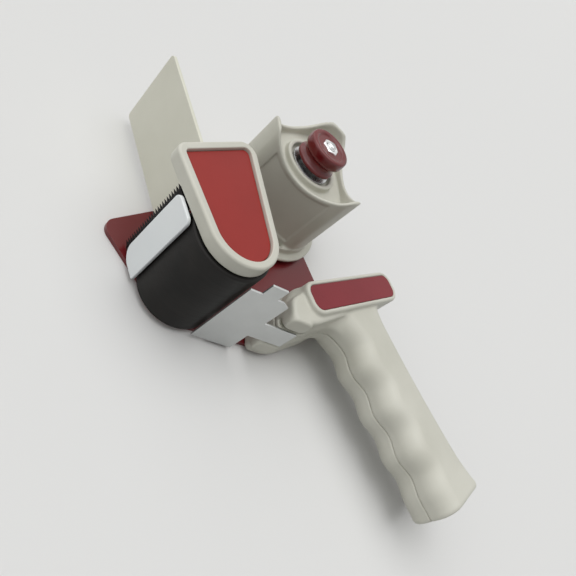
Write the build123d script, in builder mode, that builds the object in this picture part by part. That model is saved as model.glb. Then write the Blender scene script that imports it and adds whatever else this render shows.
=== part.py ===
from build123d import *
import math
import os

os.makedirs("parts", exist_ok=True)

# Hand-held carton tape gun, lying on its far side plate as it is put down on a counter.
# X runs toward the handle's end, Y toward the tape hub, Z up to the near side. All lengths are in mm.
# Side-view places are written as (rear, up) from the roller's axis, with up pointing away from the handle.

# Widths across the gun
plate_thickness = 2.5
head_gap = 52.0
cheek_depth = 7.5
cheek_floor = 2.5
panel_thickness = 3.3
running_gap = 0.05
seat_gap = 0.05
side_play = 0.6

plate_top = plate_thickness
cheek_bottom = plate_top + head_gap
cheek_floor_top = cheek_bottom + cheek_floor
middle_z = plate_top + head_gap / 2

# Overall reach from the roller's axis, which centres the frame under the gun
handle_end_up = -164.5
hub_rear = 98.0
hub_up = 42.0
hub_flange_radius = 42.0
roller_radius = 21.5
flap_pivot_rear = 8.5
flap_pivot_up = 35.0
flap_lean = 14.0
flap_reach = 76.5
flap_thickness = 2.0

lean_sin = math.sin(math.radians(flap_lean))
lean_cos = math.cos(math.radians(flap_lean))
flap_top_up = flap_pivot_up + flap_reach * lean_cos + flap_thickness / 2 * lean_sin
shift_x = (handle_end_up + flap_top_up) / 2
shift_y = (roller_radius - hub_rear - hub_flange_radius) / 2


def side_point(rear, up):
    """Row X and Y of a side-view place measured from the roller's axis."""
    return (shift_x - up, shift_y + rear)


def spot(rear, up, z):
    """Row point of a side-view place at height z."""
    return (shift_x - up, shift_y + rear, z)


# Head outline: three rounds that the cheeks wrap
chin_radius = 19.8
far_chin_radius = 18.0
far_throat_radius = 15.0
front_corner = (-8.0, 39.5)
far_front_corner = (-14.0, 37.5)
rear_corner = (29.5, 41.5)
corner_radius = 7.0
rim_width = 4.0
rim_fillet = 1.4
panel_gap = 0.25
panel_fillet = 0.5

# Screws with countersunk heads, M3, shared by both side faces
screw_radius = 1.5
screw_head_radius = 2.9
screw_head_depth = 1.5
screw_length = 9.0
screw_sink = 0.2
screw_gap = 0.1
screw_tip_room = 1.0

# Tie post in the head
post_radius = 4.0
rear_post = (28.6, 41.0)

# Blade stack, measured up the leaning front strip
strip_foot_rear = -21.0
strip_foot_up = 13.0
strip_lean = 12.0
strip_low = -2.4
strip_height = 15.4
strip_thickness = 2.0
strip_side_gap = 0.5
strip_near_corner = 3.0
strip_far_corner = 8.0
strip_foot_corner = 0.8
blade_foot = 0.5
blade_height = 14.9
blade_thickness = 0.8
blade_end_gap = 1.0
tooth_count = 25
tooth_height = 2.2
bar_foot = 9.0
bar_height = 5.4
bar_depth = 5.4
bar_screw_up = 11.7
bar_screw_in = 5.5
blade_screw_up = 11.3
blade_screw_spread = 30.0
blade_screw_radius = 1.0
blade_screw_head_radius = 1.9
blade_screw_head_depth = 1.2
blade_screw_bite = 1.4

# Roller
roller_core_radius = 15.5
roller_axle_radius = 4.0
roller_pocket_inner = 7.0
roller_pocket_outer = 12.8
roller_pocket_depth = 16.0
roller_edge = 0.8
thrust_outer = 6.5
thrust_thickness = 0.5

# Tape flap and its hinge
flap_width = 49.0
flap_corner = 2.5
flap_barrel_radius = 4.2
flap_pin_radius = 2.0
flap_spring_room = 12.0
flap_end_room = 3.0
pin_inset = 0.4

# Torsion spring round the flap pin
coil_wire = 0.55
coil_radius = 3.1
coil_turns = 6
coil_length = 10.2
leg_wire = 0.5
leg_length = 11.0
leg_overlap = 0.6

# Base sheet, measured down its slope from the front edge
sheet_front_rear = -4.0
sheet_front_up = -23.0
sheet_slope = 33.0
sheet_thickness = 1.2
sheet_start = 1.5
sheet_length = 25.3
sheet_near_inset = 3.5
sheet_tongue_end = 46.0
sheet_tongue_low = 17.6
sheet_tongue_high = 31.4
near_tab_start = 8.0
near_tab_end = 17.0
near_tab_reach = 4.5
near_tooth_start = 21.0
near_tooth_depth = 2.4
flange_start = 12.0
flange_end = 25.0
flange_height = 12.0
rivet_radius = 1.6
rivet_head_radius = 2.6
rivet_head_height = 1.2
rivet_first = 15.2
rivet_second = 21.8
rivet_up = 8.0

# Handle
top_length = 83.0
top_height = 19.5
top_rear = 81.5
top_up = -39.0
top_tilt = 5.5
top_corner = 7.5
top_step = 3.0
top_edge_fillet = 1.2
shell_wall = 2.6
nose_start = 34.0
nose_end = 48.0
nose_gap = 0.1
nose_shoulder = (31.5, -31.0)
nose_crown = (46.0, -29.0)
nose_root = (70.0, -49.5)
lug_near_gap = 2.2
lug_far_gap = 1.0
lug_round_share = 0.4
grip_front = 66.0
grip_rear = 103.5
grip_depth = 30.0
grip_corner = 11.0
grip_start_up = -42.0
grip_section_count = 21
groove_pitch = 25.0
groove_first = 24.0
groove_size = 1.6
neck_flare = 7.0
neck_run = 22.0
foot_flare = 3.0
foot_run = 24.0
grip_waist = 2.4
handle_screw_radius = 1.6
handle_screw_head_radius = 3.0
handle_screw_head_depth = 1.6
handle_screw_bite = 9.0
handle_boss_radius = 4.2
top_screw_front_along = -25.5
top_screw_back_along = 22.5
grip_screw_upper = (85.0, -84.0)
grip_screw_lower = (84.0, -146.0)
grip_seat_wall = 3.0
boss_skin = 0.5

# Label plate, left blank
label_rim = 2.4
label_depth = 1.4
label_thickness = 1.1
label_gap = 0.2
label_fillet = 0.3

# Tape hub
hub_low = 6.0
hub_length = 59.0
hub_flange_thickness = 2.5
hub_core_radius = 37.5
hub_seat_length = 4.5
hub_wall = 2.4
hub_side_radius = 28.0
wing_count = 3
wing_inset = 0.5
wing_half_angle = 14.0
wing_turn = 30.0
hub_web_top = 48.5
hub_web_thickness = 3.0
hub_boss_radius = 11.0
bush_radius = 8.0
stud_radius = 5.0
stud_flange_radius = 12.0
stud_flange_thickness = 2.5
stud_spigot_radius = 6.0
stud_thread_radius = 3.0
stud_shoulder_z = 48.0
stud_proud = 1.5
scallop_depth = 12.5
scallop_overrun = 2.0
collar_inner = 15.6
collar_outer = 18.4
collar_top = 52.5
hub_washer_thickness = 0.9

# Brake and tension knob
felt_inner = 5.6
felt_outer = 13.0
felt_thickness = 1.5
pressure_inner = 3.2
pressure_outer = 13.5
pressure_thickness = 1.5
spring_wire = 0.7
spring_radius = 6.0
spring_turns = 4
spring_top_z = 60.6
cap_thickness = 1.2
cap_outer = 8.2
cap_inner = 3.3
knob_foot_low = 54.6
knob_foot_radius = 13.2
knob_foot_height = 2.4
knob_neck_radius = 11.2
knob_cavity_radius = 8.7
knob_neck_height = 4.8
knob_head_radius = 13.6
knob_head_height = 7.2
knob_edge = 1.6
knob_dish_radius = 9.6
knob_dish_depth = 1.0
nut_flats = 10.0
nut_thickness = 5.0
nut_gap = 0.05

knob_head_low = knob_foot_low + knob_foot_height + knob_neck_height
knob_top = knob_head_low + knob_head_height
stud_end_z = knob_top + stud_proud


# %% Far side frame: one painted steel plate behind head, hub and handle top
arm_hub_radius = 22.0
arm_back = (102.0, -39.5)
arm_back_radius = 8.0
arm_front = (44.0, -40.0)
arm_front_radius = 6.0

head_screw_places = [
    side_point(0, 0),
    side_point(*rear_post),
]
strip_sin = math.sin(math.radians(strip_lean))
strip_cos = math.cos(math.radians(strip_lean))
bar_screw_rear = strip_foot_rear + bar_screw_up * strip_sin + bar_screw_in * strip_cos
bar_screw_height = strip_foot_up + bar_screw_up * strip_cos - bar_screw_in * strip_sin
frame_screw_places = head_screw_places + [side_point(bar_screw_rear, bar_screw_height)]


def top_point(along):
    """Row X and Y on the tilted centre line of the handle's top, measured back from its middle."""
    tilt = math.radians(top_tilt)
    return side_point(top_rear + along * math.cos(tilt), top_up - along * math.sin(tilt))


handle_top_places = [top_point(top_screw_front_along), top_point(top_screw_back_along)]

slope_sin = math.sin(math.radians(sheet_slope))
slope_cos = math.cos(math.radians(sheet_slope))


def slope_point(down, lift):
    """Side-view (rear, up) of a place down the base sheet's slope, lifted off its outer face."""
    rear = sheet_front_rear + down * slope_cos + lift * slope_sin
    up = sheet_front_up - down * slope_sin + lift * slope_cos
    return (rear, up)


rivet_places = [
    side_point(*slope_point(rivet_first, rivet_up)),
    side_point(*slope_point(rivet_second, rivet_up)),
]
hub_place = side_point(hub_rear, hub_up)
flap_place = side_point(flap_pivot_rear, flap_pivot_up)

with BuildPart() as side_frame:
    with BuildSketch():
        with BuildLine():
            CenterArc(side_point(0, 0), far_throat_radius, 0, 360)
            CenterArc(side_point(*far_front_corner), corner_radius, 0, 360)
            CenterArc(side_point(*rear_corner), corner_radius, 0, 360)
        make_hull()
    extrude(amount=plate_thickness)
    with BuildSketch():
        with BuildLine():
            CenterArc(side_point(0, 0), far_chin_radius, 0, 360)
            CenterArc(hub_place, arm_hub_radius, 0, 360)
            CenterArc(side_point(*arm_back), arm_back_radius, 0, 360)
            CenterArc(side_point(*arm_front), arm_front_radius, 0, 360)
        make_hull()
    extrude(amount=plate_thickness)
    with Locations(*[(x, y, screw_sink) for x, y in frame_screw_places]):
        Cone(
            screw_head_radius + screw_gap,
            screw_radius + screw_gap,
            screw_head_depth,
            align=(Align.CENTER, Align.CENTER, Align.MIN),
            mode=Mode.SUBTRACT,
        )
    with Locations(*[(x, y, 0) for x, y in frame_screw_places]):
        Cylinder(
            screw_head_radius + screw_gap,
            screw_sink,
            align=(Align.CENTER, Align.CENTER, Align.MIN),
            mode=Mode.SUBTRACT,
        )
        Cylinder(
            screw_radius + screw_gap,
            plate_thickness,
            align=(Align.CENTER, Align.CENTER, Align.MIN),
            mode=Mode.SUBTRACT,
        )
    with Locations(*[(x, y, screw_sink) for x, y in handle_top_places]):
        Cone(
            handle_screw_head_radius + screw_gap,
            handle_screw_radius + screw_gap,
            handle_screw_head_depth,
            align=(Align.CENTER, Align.CENTER, Align.MIN),
            mode=Mode.SUBTRACT,
        )
    with Locations(*[(x, y, 0) for x, y in handle_top_places]):
        Cylinder(
            handle_screw_head_radius + screw_gap,
            screw_sink,
            align=(Align.CENTER, Align.CENTER, Align.MIN),
            mode=Mode.SUBTRACT,
        )
        Cylinder(
            handle_screw_radius + screw_gap,
            plate_thickness,
            align=(Align.CENTER, Align.CENTER, Align.MIN),
            mode=Mode.SUBTRACT,
        )
    with Locations(*[(x, y, 0) for x, y in rivet_places]):
        Cylinder(
            rivet_radius + seat_gap,
            plate_thickness,
            align=(Align.CENTER, Align.CENTER, Align.MIN),
            mode=Mode.SUBTRACT,
        )
    with Locations((*flap_place, 0)):
        Cylinder(
            flap_pin_radius + seat_gap,
            plate_thickness,
            align=(Align.CENTER, Align.CENTER, Align.MIN),
            mode=Mode.SUBTRACT,
        )
    with Locations((*hub_place, 0)):
        Cylinder(
            stud_spigot_radius + seat_gap,
            plate_thickness,
            align=(Align.CENTER, Align.CENTER, Align.MIN),
            mode=Mode.SUBTRACT,
        )
side_frame.part.label = "side_frame"
export_step(side_frame.part, "parts/side_frame.step")

# %% Near cheek: cream tray whose rim frames the red panel
with BuildPart() as near_cheek:
    with BuildSketch(Plane.XY.offset(cheek_bottom)):
        with BuildLine():
            CenterArc(side_point(0, 0), chin_radius, 0, 360)
            CenterArc(side_point(*front_corner), corner_radius, 0, 360)
            CenterArc(side_point(*rear_corner), corner_radius, 0, 360)
        make_hull()
    extrude(amount=cheek_depth)
    fillet(near_cheek.faces().sort_by(Axis.Z)[-1].edges(), rim_fillet)
    with BuildSketch(Plane.XY.offset(cheek_floor_top)):
        with BuildLine():
            CenterArc(side_point(0, 0), chin_radius - rim_width, 0, 360)
            CenterArc(side_point(*front_corner), corner_radius - rim_width, 0, 360)
            CenterArc(side_point(*rear_corner), corner_radius - rim_width, 0, 360)
        make_hull()
    extrude(amount=cheek_depth, mode=Mode.SUBTRACT)
    with Locations(*[(x, y, cheek_floor_top - screw_head_depth) for x, y in head_screw_places]):
        Cone(
            screw_radius + screw_gap,
            screw_head_radius + screw_gap,
            screw_head_depth,
            align=(Align.CENTER, Align.CENTER, Align.MIN),
            mode=Mode.SUBTRACT,
        )
    with Locations(*[(x, y, cheek_bottom) for x, y in head_screw_places]):
        Cylinder(
            screw_radius + screw_gap,
            cheek_floor,
            align=(Align.CENTER, Align.CENTER, Align.MIN),
            mode=Mode.SUBTRACT,
        )
    with Locations((*flap_place, cheek_bottom)):
        Cylinder(
            flap_pin_radius + seat_gap,
            cheek_floor,
            align=(Align.CENTER, Align.CENTER, Align.MIN),
            mode=Mode.SUBTRACT,
        )
near_cheek.part.label = "near_cheek"
export_step(near_cheek.part, "parts/near_cheek.step")

with BuildPart() as cheek_panel:
    with BuildSketch(Plane.XY.offset(cheek_floor_top)):
        with BuildLine():
            CenterArc(side_point(0, 0), chin_radius - rim_width - panel_gap, 0, 360)
            CenterArc(side_point(*front_corner), corner_radius - rim_width - panel_gap, 0, 360)
            CenterArc(side_point(*rear_corner), corner_radius - rim_width - panel_gap, 0, 360)
        make_hull()
    extrude(amount=panel_thickness)
    fillet(cheek_panel.faces().sort_by(Axis.Z)[-1].edges(), panel_fillet)
cheek_panel.part.label = "cheek_panel"
export_step(cheek_panel.part, "parts/cheek_panel.step")

# %% Tie post and the countersunk screws in both side faces
with BuildPart() as tie_post:
    with Locations(spot(*rear_post, plate_top)):
        Cylinder(post_radius, head_gap, align=(Align.CENTER, Align.CENTER, Align.MIN))
        Cylinder(
            screw_radius + screw_gap,
            screw_length + screw_tip_room - plate_thickness,
            align=(Align.CENTER, Align.CENTER, Align.MIN),
            mode=Mode.SUBTRACT,
        )
    with Locations(spot(*rear_post, cheek_bottom)):
        Cylinder(
            screw_radius + screw_gap,
            screw_length + screw_tip_room - cheek_floor,
            align=(Align.CENTER, Align.CENTER, Align.MAX),
            mode=Mode.SUBTRACT,
        )
tie_post.part.label = "tie_post"
export_step(tie_post.part, "parts/tie_post.step")

with BuildPart() as far_screws:
    with Locations(*[(x, y, screw_sink) for x, y in frame_screw_places]):
        Cone(
            screw_head_radius,
            screw_radius,
            screw_head_depth,
            align=(Align.CENTER, Align.CENTER, Align.MIN),
        )
        Cylinder(screw_radius, screw_length, align=(Align.CENTER, Align.CENTER, Align.MIN))
far_screws.part.label = "far_screws"
export_step(far_screws.part, "parts/far_screws.step")

with BuildPart() as near_screws:
    with Locations(*[(x, y, cheek_floor_top) for x, y in head_screw_places]):
        Cone(
            screw_radius,
            screw_head_radius,
            screw_head_depth,
            align=(Align.CENTER, Align.CENTER, Align.MAX),
        )
        Cylinder(screw_radius, screw_length, align=(Align.CENTER, Align.CENTER, Align.MAX))
near_screws.part.label = "near_screws"
export_step(near_screws.part, "parts/near_screws.step")

# %% Roller: rubber sleeve on a plastic core that spins on a fixed axle
roller_low = plate_top + side_play
roller_length = head_gap - 2 * side_play

with BuildPart() as roller_axle:
    with Locations(spot(0, 0, plate_top)):
        Cylinder(roller_axle_radius, head_gap, align=(Align.CENTER, Align.CENTER, Align.MIN))
        Cylinder(
            screw_radius + screw_gap,
            screw_length + screw_tip_room - plate_thickness,
            align=(Align.CENTER, Align.CENTER, Align.MIN),
            mode=Mode.SUBTRACT,
        )
    with Locations(spot(0, 0, cheek_bottom)):
        Cylinder(
            screw_radius + screw_gap,
            screw_length + screw_tip_room - cheek_floor,
            align=(Align.CENTER, Align.CENTER, Align.MAX),
            mode=Mode.SUBTRACT,
        )
roller_axle.part.label = "roller_axle"
export_step(roller_axle.part, "parts/roller_axle.step")

with BuildPart() as roller_core:
    with BuildSketch(Plane.XY.offset(roller_low)):
        with Locations(side_point(0, 0)):
            Circle(roller_core_radius)
            Circle(roller_axle_radius + running_gap, mode=Mode.SUBTRACT)
    extrude(amount=roller_length)
    with BuildSketch(Plane.XY.offset(roller_low)):
        with Locations(side_point(0, 0)):
            Circle(roller_pocket_outer)
            Circle(roller_pocket_inner, mode=Mode.SUBTRACT)
    extrude(amount=roller_pocket_depth, mode=Mode.SUBTRACT)
    with BuildSketch(Plane.XY.offset(roller_low + roller_length)):
        with Locations(side_point(0, 0)):
            Circle(roller_pocket_outer)
            Circle(roller_pocket_inner, mode=Mode.SUBTRACT)
    extrude(amount=-roller_pocket_depth, mode=Mode.SUBTRACT)
roller_core.part.label = "roller_core"
export_step(roller_core.part, "parts/roller_core.step")

with BuildPart() as roller_sleeve:
    with BuildSketch(Plane.XY.offset(roller_low)):
        with Locations(side_point(0, 0)):
            Circle(roller_radius)
    extrude(amount=roller_length)
    chamfer(roller_sleeve.edges().filter_by(GeomType.CIRCLE), roller_edge)
    with BuildSketch(Plane.XY.offset(roller_low)):
        with Locations(side_point(0, 0)):
            Circle(roller_core_radius + seat_gap)
    extrude(amount=roller_length, mode=Mode.SUBTRACT)
roller_sleeve.part.label = "roller_sleeve"
export_step(roller_sleeve.part, "parts/roller_sleeve.step")

with BuildPart() as thrust_washers:
    with BuildSketch(Plane.XY.offset(plate_top), Plane.XY.offset(cheek_bottom - thrust_thickness)):
        with Locations(side_point(0, 0)):
            Circle(thrust_outer)
            Circle(roller_axle_radius + seat_gap, mode=Mode.SUBTRACT)
    extrude(amount=thrust_thickness)
thrust_washers.part.label = "thrust_washers"
export_step(thrust_washers.part, "parts/thrust_washers.step")

# %% Cutter: front strip, saw blade and bar between the cheeks
strip_plane = Plane(
    origin=spot(strip_foot_rear, strip_foot_up, 0),
    x_dir=(-strip_cos, strip_sin, 0),
    z_dir=(strip_sin, strip_cos, 0),
)
blade_plane = strip_plane.offset(strip_thickness)
bar_plane = strip_plane.offset(strip_thickness + blade_thickness)
blade_screw_places = [
    (blade_screw_up, middle_z - blade_screw_spread / 2),
    (blade_screw_up, middle_z + blade_screw_spread / 2),
]

with BuildPart() as front_strip:
    with BuildSketch(strip_plane) as strip_face:
        with Locations((strip_low + strip_height / 2, middle_z)):
            Rectangle(strip_height, head_gap - 2 * strip_side_gap)
        fillet(strip_face.vertices().group_by(Axis.Y)[-1], strip_near_corner)
        fillet(strip_face.vertices().group_by(Axis.Y)[0].sort_by(Axis.X)[-1], strip_far_corner)
        fillet(strip_face.vertices().group_by(Axis.Y)[0].sort_by(Axis.X)[0], strip_foot_corner)
    extrude(amount=strip_thickness)
    with BuildSketch(blade_plane):
        with Locations(*blade_screw_places):
            Circle(blade_screw_radius + screw_gap)
    extrude(amount=-blade_screw_bite, mode=Mode.SUBTRACT)
front_strip.part.label = "front_strip"
export_step(front_strip.part, "parts/front_strip.step")

blade_width = head_gap - 2 * blade_end_gap
tooth_pitch = blade_width / tooth_count
blade_low_z = middle_z - blade_width / 2
saw_points = [(blade_foot, blade_low_z)]
saw_points.append((blade_foot + blade_height, blade_low_z))
for tooth in range(tooth_count):
    tip_z = blade_low_z + (tooth + 1 / 2) * tooth_pitch
    root_z = blade_low_z + (tooth + 1) * tooth_pitch
    saw_points.append((blade_foot + blade_height + tooth_height, tip_z))
    saw_points.append((blade_foot + blade_height, root_z))
saw_points.append((blade_foot, blade_low_z + blade_width))

with BuildPart() as blade:
    with BuildSketch(blade_plane):
        with BuildLine():
            Polyline(*saw_points, close=True)
        make_face()
        with Locations(*blade_screw_places):
            Circle(blade_screw_radius + screw_gap, mode=Mode.SUBTRACT)
    extrude(amount=blade_thickness)
blade.part.label = "blade"
export_step(blade.part, "parts/blade.step")

with BuildPart() as blade_bar:
    with BuildSketch(bar_plane):
        with Locations((bar_foot + bar_height / 2, middle_z)):
            Rectangle(bar_height, head_gap)
        with Locations(*blade_screw_places):
            Circle(blade_screw_radius + screw_gap, mode=Mode.SUBTRACT)
    extrude(amount=bar_depth)
    with BuildSketch(bar_plane.offset(bar_depth)):
        with Locations(*blade_screw_places):
            Circle(blade_screw_head_radius + screw_gap)
    extrude(amount=-blade_screw_head_depth, mode=Mode.SUBTRACT)
    with Locations(spot(bar_screw_rear, bar_screw_height, plate_top)):
        Cylinder(
            screw_radius + screw_gap,
            screw_length + screw_tip_room - plate_thickness,
            align=(Align.CENTER, Align.CENTER, Align.MIN),
            mode=Mode.SUBTRACT,
        )
blade_bar.part.label = "blade_bar"
export_step(blade_bar.part, "parts/blade_bar.step")

with BuildPart() as blade_screws:
    with BuildSketch(bar_plane.offset(bar_depth)):
        with Locations(*blade_screw_places):
            Circle(blade_screw_head_radius)
    extrude(amount=-blade_screw_head_depth)
    with BuildSketch(bar_plane.offset(bar_depth)):
        with Locations(*blade_screw_places):
            Circle(blade_screw_radius)
    extrude(amount=-(bar_depth + blade_thickness + blade_screw_bite - screw_gap))
blade_screws.part.label = "blade_screws"
export_step(blade_screws.part, "parts/blade_screws.step")

# %% Tape flap on its sprung hinge pin
flap_plane = Plane(
    origin=spot(flap_pivot_rear, flap_pivot_up, 0),
    x_dir=(-lean_cos, lean_sin, 0),
    z_dir=(lean_sin, lean_cos, 0),
)
flap_low_z = middle_z - flap_width / 2

with BuildPart() as flap:
    with BuildSketch(flap_plane.offset(-flap_thickness / 2)):
        with Locations((flap_reach / 2, middle_z)):
            RectangleRounded(flap_reach, flap_width, flap_corner)
    extrude(amount=flap_thickness)
    with BuildSketch(Plane.XY.offset(flap_low_z)):
        with Locations(flap_place):
            Circle(flap_barrel_radius)
    extrude(amount=flap_width)
    with BuildSketch(Plane.XY.offset(flap_low_z)):
        with Locations(flap_place):
            Circle(flap_pin_radius + running_gap)
    extrude(amount=flap_width, mode=Mode.SUBTRACT)
    with Locations((*flap_place, middle_z)):
        Cylinder(flap_barrel_radius + flap_end_room, flap_spring_room, mode=Mode.SUBTRACT)
flap.part.label = "flap"
export_step(flap.part, "parts/flap.step")

with BuildPart() as flap_pin:
    with Locations(spot(flap_pivot_rear, flap_pivot_up, pin_inset)):
        Cylinder(
            flap_pin_radius,
            cheek_floor_top - 2 * pin_inset,
            align=(Align.CENTER, Align.CENTER, Align.MIN),
        )
flap_pin.part.label = "flap_pin"
export_step(flap_pin.part, "parts/flap_pin.step")

# The torsion spring is one wire: a straight leg, the coil and a second leg
coil_low_z = middle_z - coil_length / 2
coil_start = (flap_place[0] + coil_radius, flap_place[1], coil_low_z)
coil_finish = (flap_place[0] + coil_radius, flap_place[1], coil_low_z + coil_length)

with BuildPart() as flap_spring:
    with BuildLine() as coil_path:
        Helix(coil_length / coil_turns, coil_length, coil_radius, center=(*flap_place, coil_low_z))
    with BuildSketch(Plane(origin=coil_path.line @ 0, z_dir=coil_path.line % 0)):
        Circle(coil_wire)
    sweep(path=coil_path.line, is_frenet=True)
    with BuildSketch(Plane(origin=coil_start, z_dir=(0, -1, 0)).offset(-leg_overlap)):
        Circle(leg_wire)
    extrude(amount=leg_overlap + leg_length)
    with BuildSketch(Plane(origin=coil_finish, z_dir=(0, 1, 0)).offset(-leg_overlap)):
        Circle(leg_wire)
    extrude(amount=leg_overlap + leg_length)
flap_spring.part.label = "flap_spring"
export_step(flap_spring.part, "parts/flap_spring.step")
coil_self_gap = coil_length / coil_turns - 2 * coil_wire
print("flap spring least gap between turns:", round(coil_self_gap, 3), "mm")

# %% Base sheet: bent steel under the roller, its tongue held between two lugs of the handle's nose
sheet_plane = Plane(
    origin=spot(sheet_front_rear, sheet_front_up, 0),
    x_dir=(slope_sin, slope_cos, 0),
    z_dir=(slope_cos, -slope_sin, 0),
)
sheet_near_z = cheek_bottom - sheet_near_inset
sheet_outline = [
    (sheet_start, plate_top),
    (sheet_length, plate_top),
    (sheet_length, sheet_tongue_low),
    (sheet_tongue_end, sheet_tongue_low),
    (sheet_tongue_end, sheet_tongue_high),
    (sheet_length, sheet_tongue_high),
    (sheet_length, sheet_near_z - near_tooth_depth),
    (near_tooth_start, sheet_near_z),
    (near_tab_end, sheet_near_z),
    (near_tab_end, cheek_bottom + near_tab_reach),
    (near_tab_start, cheek_bottom + near_tab_reach),
    (near_tab_start, sheet_near_z),
    (sheet_start, sheet_near_z),
]
flange_outline = [
    side_point(*slope_point(flange_start, 0)),
    side_point(*slope_point(flange_end, 0)),
    side_point(*slope_point(flange_end, flange_height)),
    side_point(*slope_point(flange_start, flange_height)),
]

with BuildPart() as base_sheet:
    with BuildSketch(sheet_plane):
        with BuildLine():
            Polyline(*sheet_outline, close=True)
        make_face()
    extrude(amount=-sheet_thickness)
    with BuildSketch(Plane.XY.offset(plate_top)):
        with BuildLine():
            Polyline(*flange_outline, close=True)
        make_face()
        with Locations(*rivet_places):
            Circle(rivet_radius + seat_gap, mode=Mode.SUBTRACT)
    extrude(amount=sheet_thickness)
base_sheet.part.label = "base_sheet"
export_step(base_sheet.part, "parts/base_sheet.step")

with BuildPart() as base_rivets:
    with Locations(*[(x, y, screw_sink) for x, y in rivet_places]):
        Cylinder(
            rivet_radius,
            plate_top + sheet_thickness - screw_sink,
            align=(Align.CENTER, Align.CENTER, Align.MIN),
        )
    with Locations(*[(x, y, plate_top + sheet_thickness) for x, y in rivet_places]):
        Cylinder(rivet_head_radius, rivet_head_height, align=(Align.CENTER, Align.CENTER, Align.MIN))
base_rivets.part.label = "base_rivets"
export_step(base_rivets.part, "parts/base_rivets.step")

# %% Handle: a hollow pistol grip under a T-shaped top, moulded in two halves
grip_length = grip_start_up - handle_end_up
grip_step = grip_length / (grip_section_count - 1)
grip_sections = []
for index in range(grip_section_count):
    run = index * grip_step
    below = run / neck_run
    neck = neck_flare * max(0, 1 - below) ** 2
    foot_share = max(0, 1 - (grip_length - run) / foot_run)
    foot = foot_flare * foot_share ** 2
    waist = grip_waist * math.sin(math.pi * run / grip_length)
    groove_fade = min(1, run / groove_pitch) * (1 - foot_share)
    groove = groove_size * math.cos(2 * math.pi * (run - groove_first) / groove_pitch) * groove_fade
    front_edge = grip_front + groove - neck - foot / 2
    back_edge = grip_rear - waist + neck + foot
    grip_sections.append((run, front_edge, back_edge, grip_depth + foot / 2))


def grip_section_plane(run, front_edge, back_edge):
    """Plane across the grip at a distance below its start, centred between its edges."""
    up = grip_start_up - run
    return Plane(
        origin=spot((front_edge + back_edge) / 2, up, middle_z),
        x_dir=(0, 1, 0),
        z_dir=(1, 0, 0),
    )


top_place = Location((*side_point(top_rear, top_up), 0), (0, 0, -top_tilt))
nose_lift = sheet_thickness + nose_gap
nose_outline = [
    side_point(*slope_point(nose_start, nose_lift)),
    side_point(*slope_point(nose_end, nose_lift)),
    side_point(*nose_root),
    side_point(*nose_crown),
    side_point(*nose_shoulder),
]

nose_near_z = middle_z + grip_depth / 2
top_near_z = nose_near_z + top_step
lug_low = sheet_tongue_high + lug_near_gap
lug_width = nose_near_z - lug_low
lug_length = nose_end - nose_start
lug_places = [
    (nose_start + lug_length / 2, sheet_tongue_low - lug_far_gap - lug_width / 2),
    (nose_start + lug_length / 2, lug_low + lug_width / 2),
]

with BuildPart() as handle_solid:
    for run, front_edge, back_edge, depth in grip_sections:
        with BuildSketch(grip_section_plane(run, front_edge, back_edge)):
            RectangleRounded(back_edge - front_edge, depth, grip_corner)
    loft()
    with BuildSketch(Plane.XY.offset(plate_top)):
        with Locations(top_place):
            RectangleRounded(top_height, top_length, top_corner)
    extrude(amount=top_near_z - plate_top)
    with BuildSketch(Plane.XY.offset(plate_top)):
        with BuildLine():
            Polyline(*nose_outline, close=True)
        make_face()
    extrude(amount=nose_near_z - plate_top)
    with BuildSketch(sheet_plane):
        with Locations(*lug_places):
            RectangleRounded(lug_length, lug_width, lug_width * lug_round_share)
    extrude(amount=-nose_lift)

with BuildPart() as handle_hollow:
    for run, front_edge, back_edge, depth in grip_sections[:-1]:
        with BuildSketch(grip_section_plane(run, front_edge, back_edge)):
            RectangleRounded(
                back_edge - front_edge - 2 * shell_wall,
                depth - 2 * shell_wall,
                grip_corner - shell_wall,
            )
    loft()
    with BuildSketch(Plane.XY.offset(plate_top + shell_wall)):
        with Locations(top_place):
            RectangleRounded(
                top_height - 2 * shell_wall,
                top_length - 2 * shell_wall,
                top_corner - shell_wall,
            )
    extrude(amount=top_near_z - plate_top - 2 * shell_wall - label_depth)

boss_places = handle_top_places + [
    side_point(*grip_screw_upper),
    side_point(*grip_screw_lower),
]
grip_low_z = middle_z - grip_depth / 2
grip_seat_z = grip_low_z + grip_seat_wall

with BuildPart() as handle_shell:
    add(handle_solid.part)
    add(handle_hollow.part, mode=Mode.SUBTRACT)
    with Locations(*[(x, y, grip_low_z) for x, y in boss_places]):
        Cylinder(
            handle_boss_radius,
            grip_depth - boss_skin,
            align=(Align.CENTER, Align.CENTER, Align.MIN),
        )
    with Locations(*[(x, y, plate_top) for x, y in boss_places[:2]]):
        Cylinder(
            handle_boss_radius,
            grip_low_z - plate_top,
            align=(Align.CENTER, Align.CENTER, Align.MIN),
        )
    with Locations(*[(x, y, plate_top) for x, y in boss_places]):
        Cylinder(
            handle_screw_radius + screw_gap,
            middle_z + handle_screw_bite - plate_top,
            align=(Align.CENTER, Align.CENTER, Align.MIN),
            mode=Mode.SUBTRACT,
        )
    with Locations(*[(x, y, plate_top) for x, y in boss_places[2:]]):
        Cylinder(
            handle_screw_head_radius + screw_gap,
            grip_seat_z - plate_top,
            align=(Align.CENTER, Align.CENTER, Align.MIN),
            mode=Mode.SUBTRACT,
        )

with BuildPart() as handle_near:
    add(handle_shell.part)
    split(bisect_by=Plane.XY.offset(middle_z), keep=Keep.TOP)
    fillet(handle_near.faces().sort_by(Axis.Z)[-1].outer_wire().edges(), top_edge_fillet)
    with BuildSketch(Plane.XY.offset(top_near_z)):
        with Locations(top_place):
            RectangleRounded(top_height - 2 * label_rim, top_length - 2 * label_rim, top_corner - label_rim)
    extrude(amount=-label_depth, mode=Mode.SUBTRACT)
handle_near.part.label = "handle_near"
export_step(handle_near.part, "parts/handle_near.step")

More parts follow.
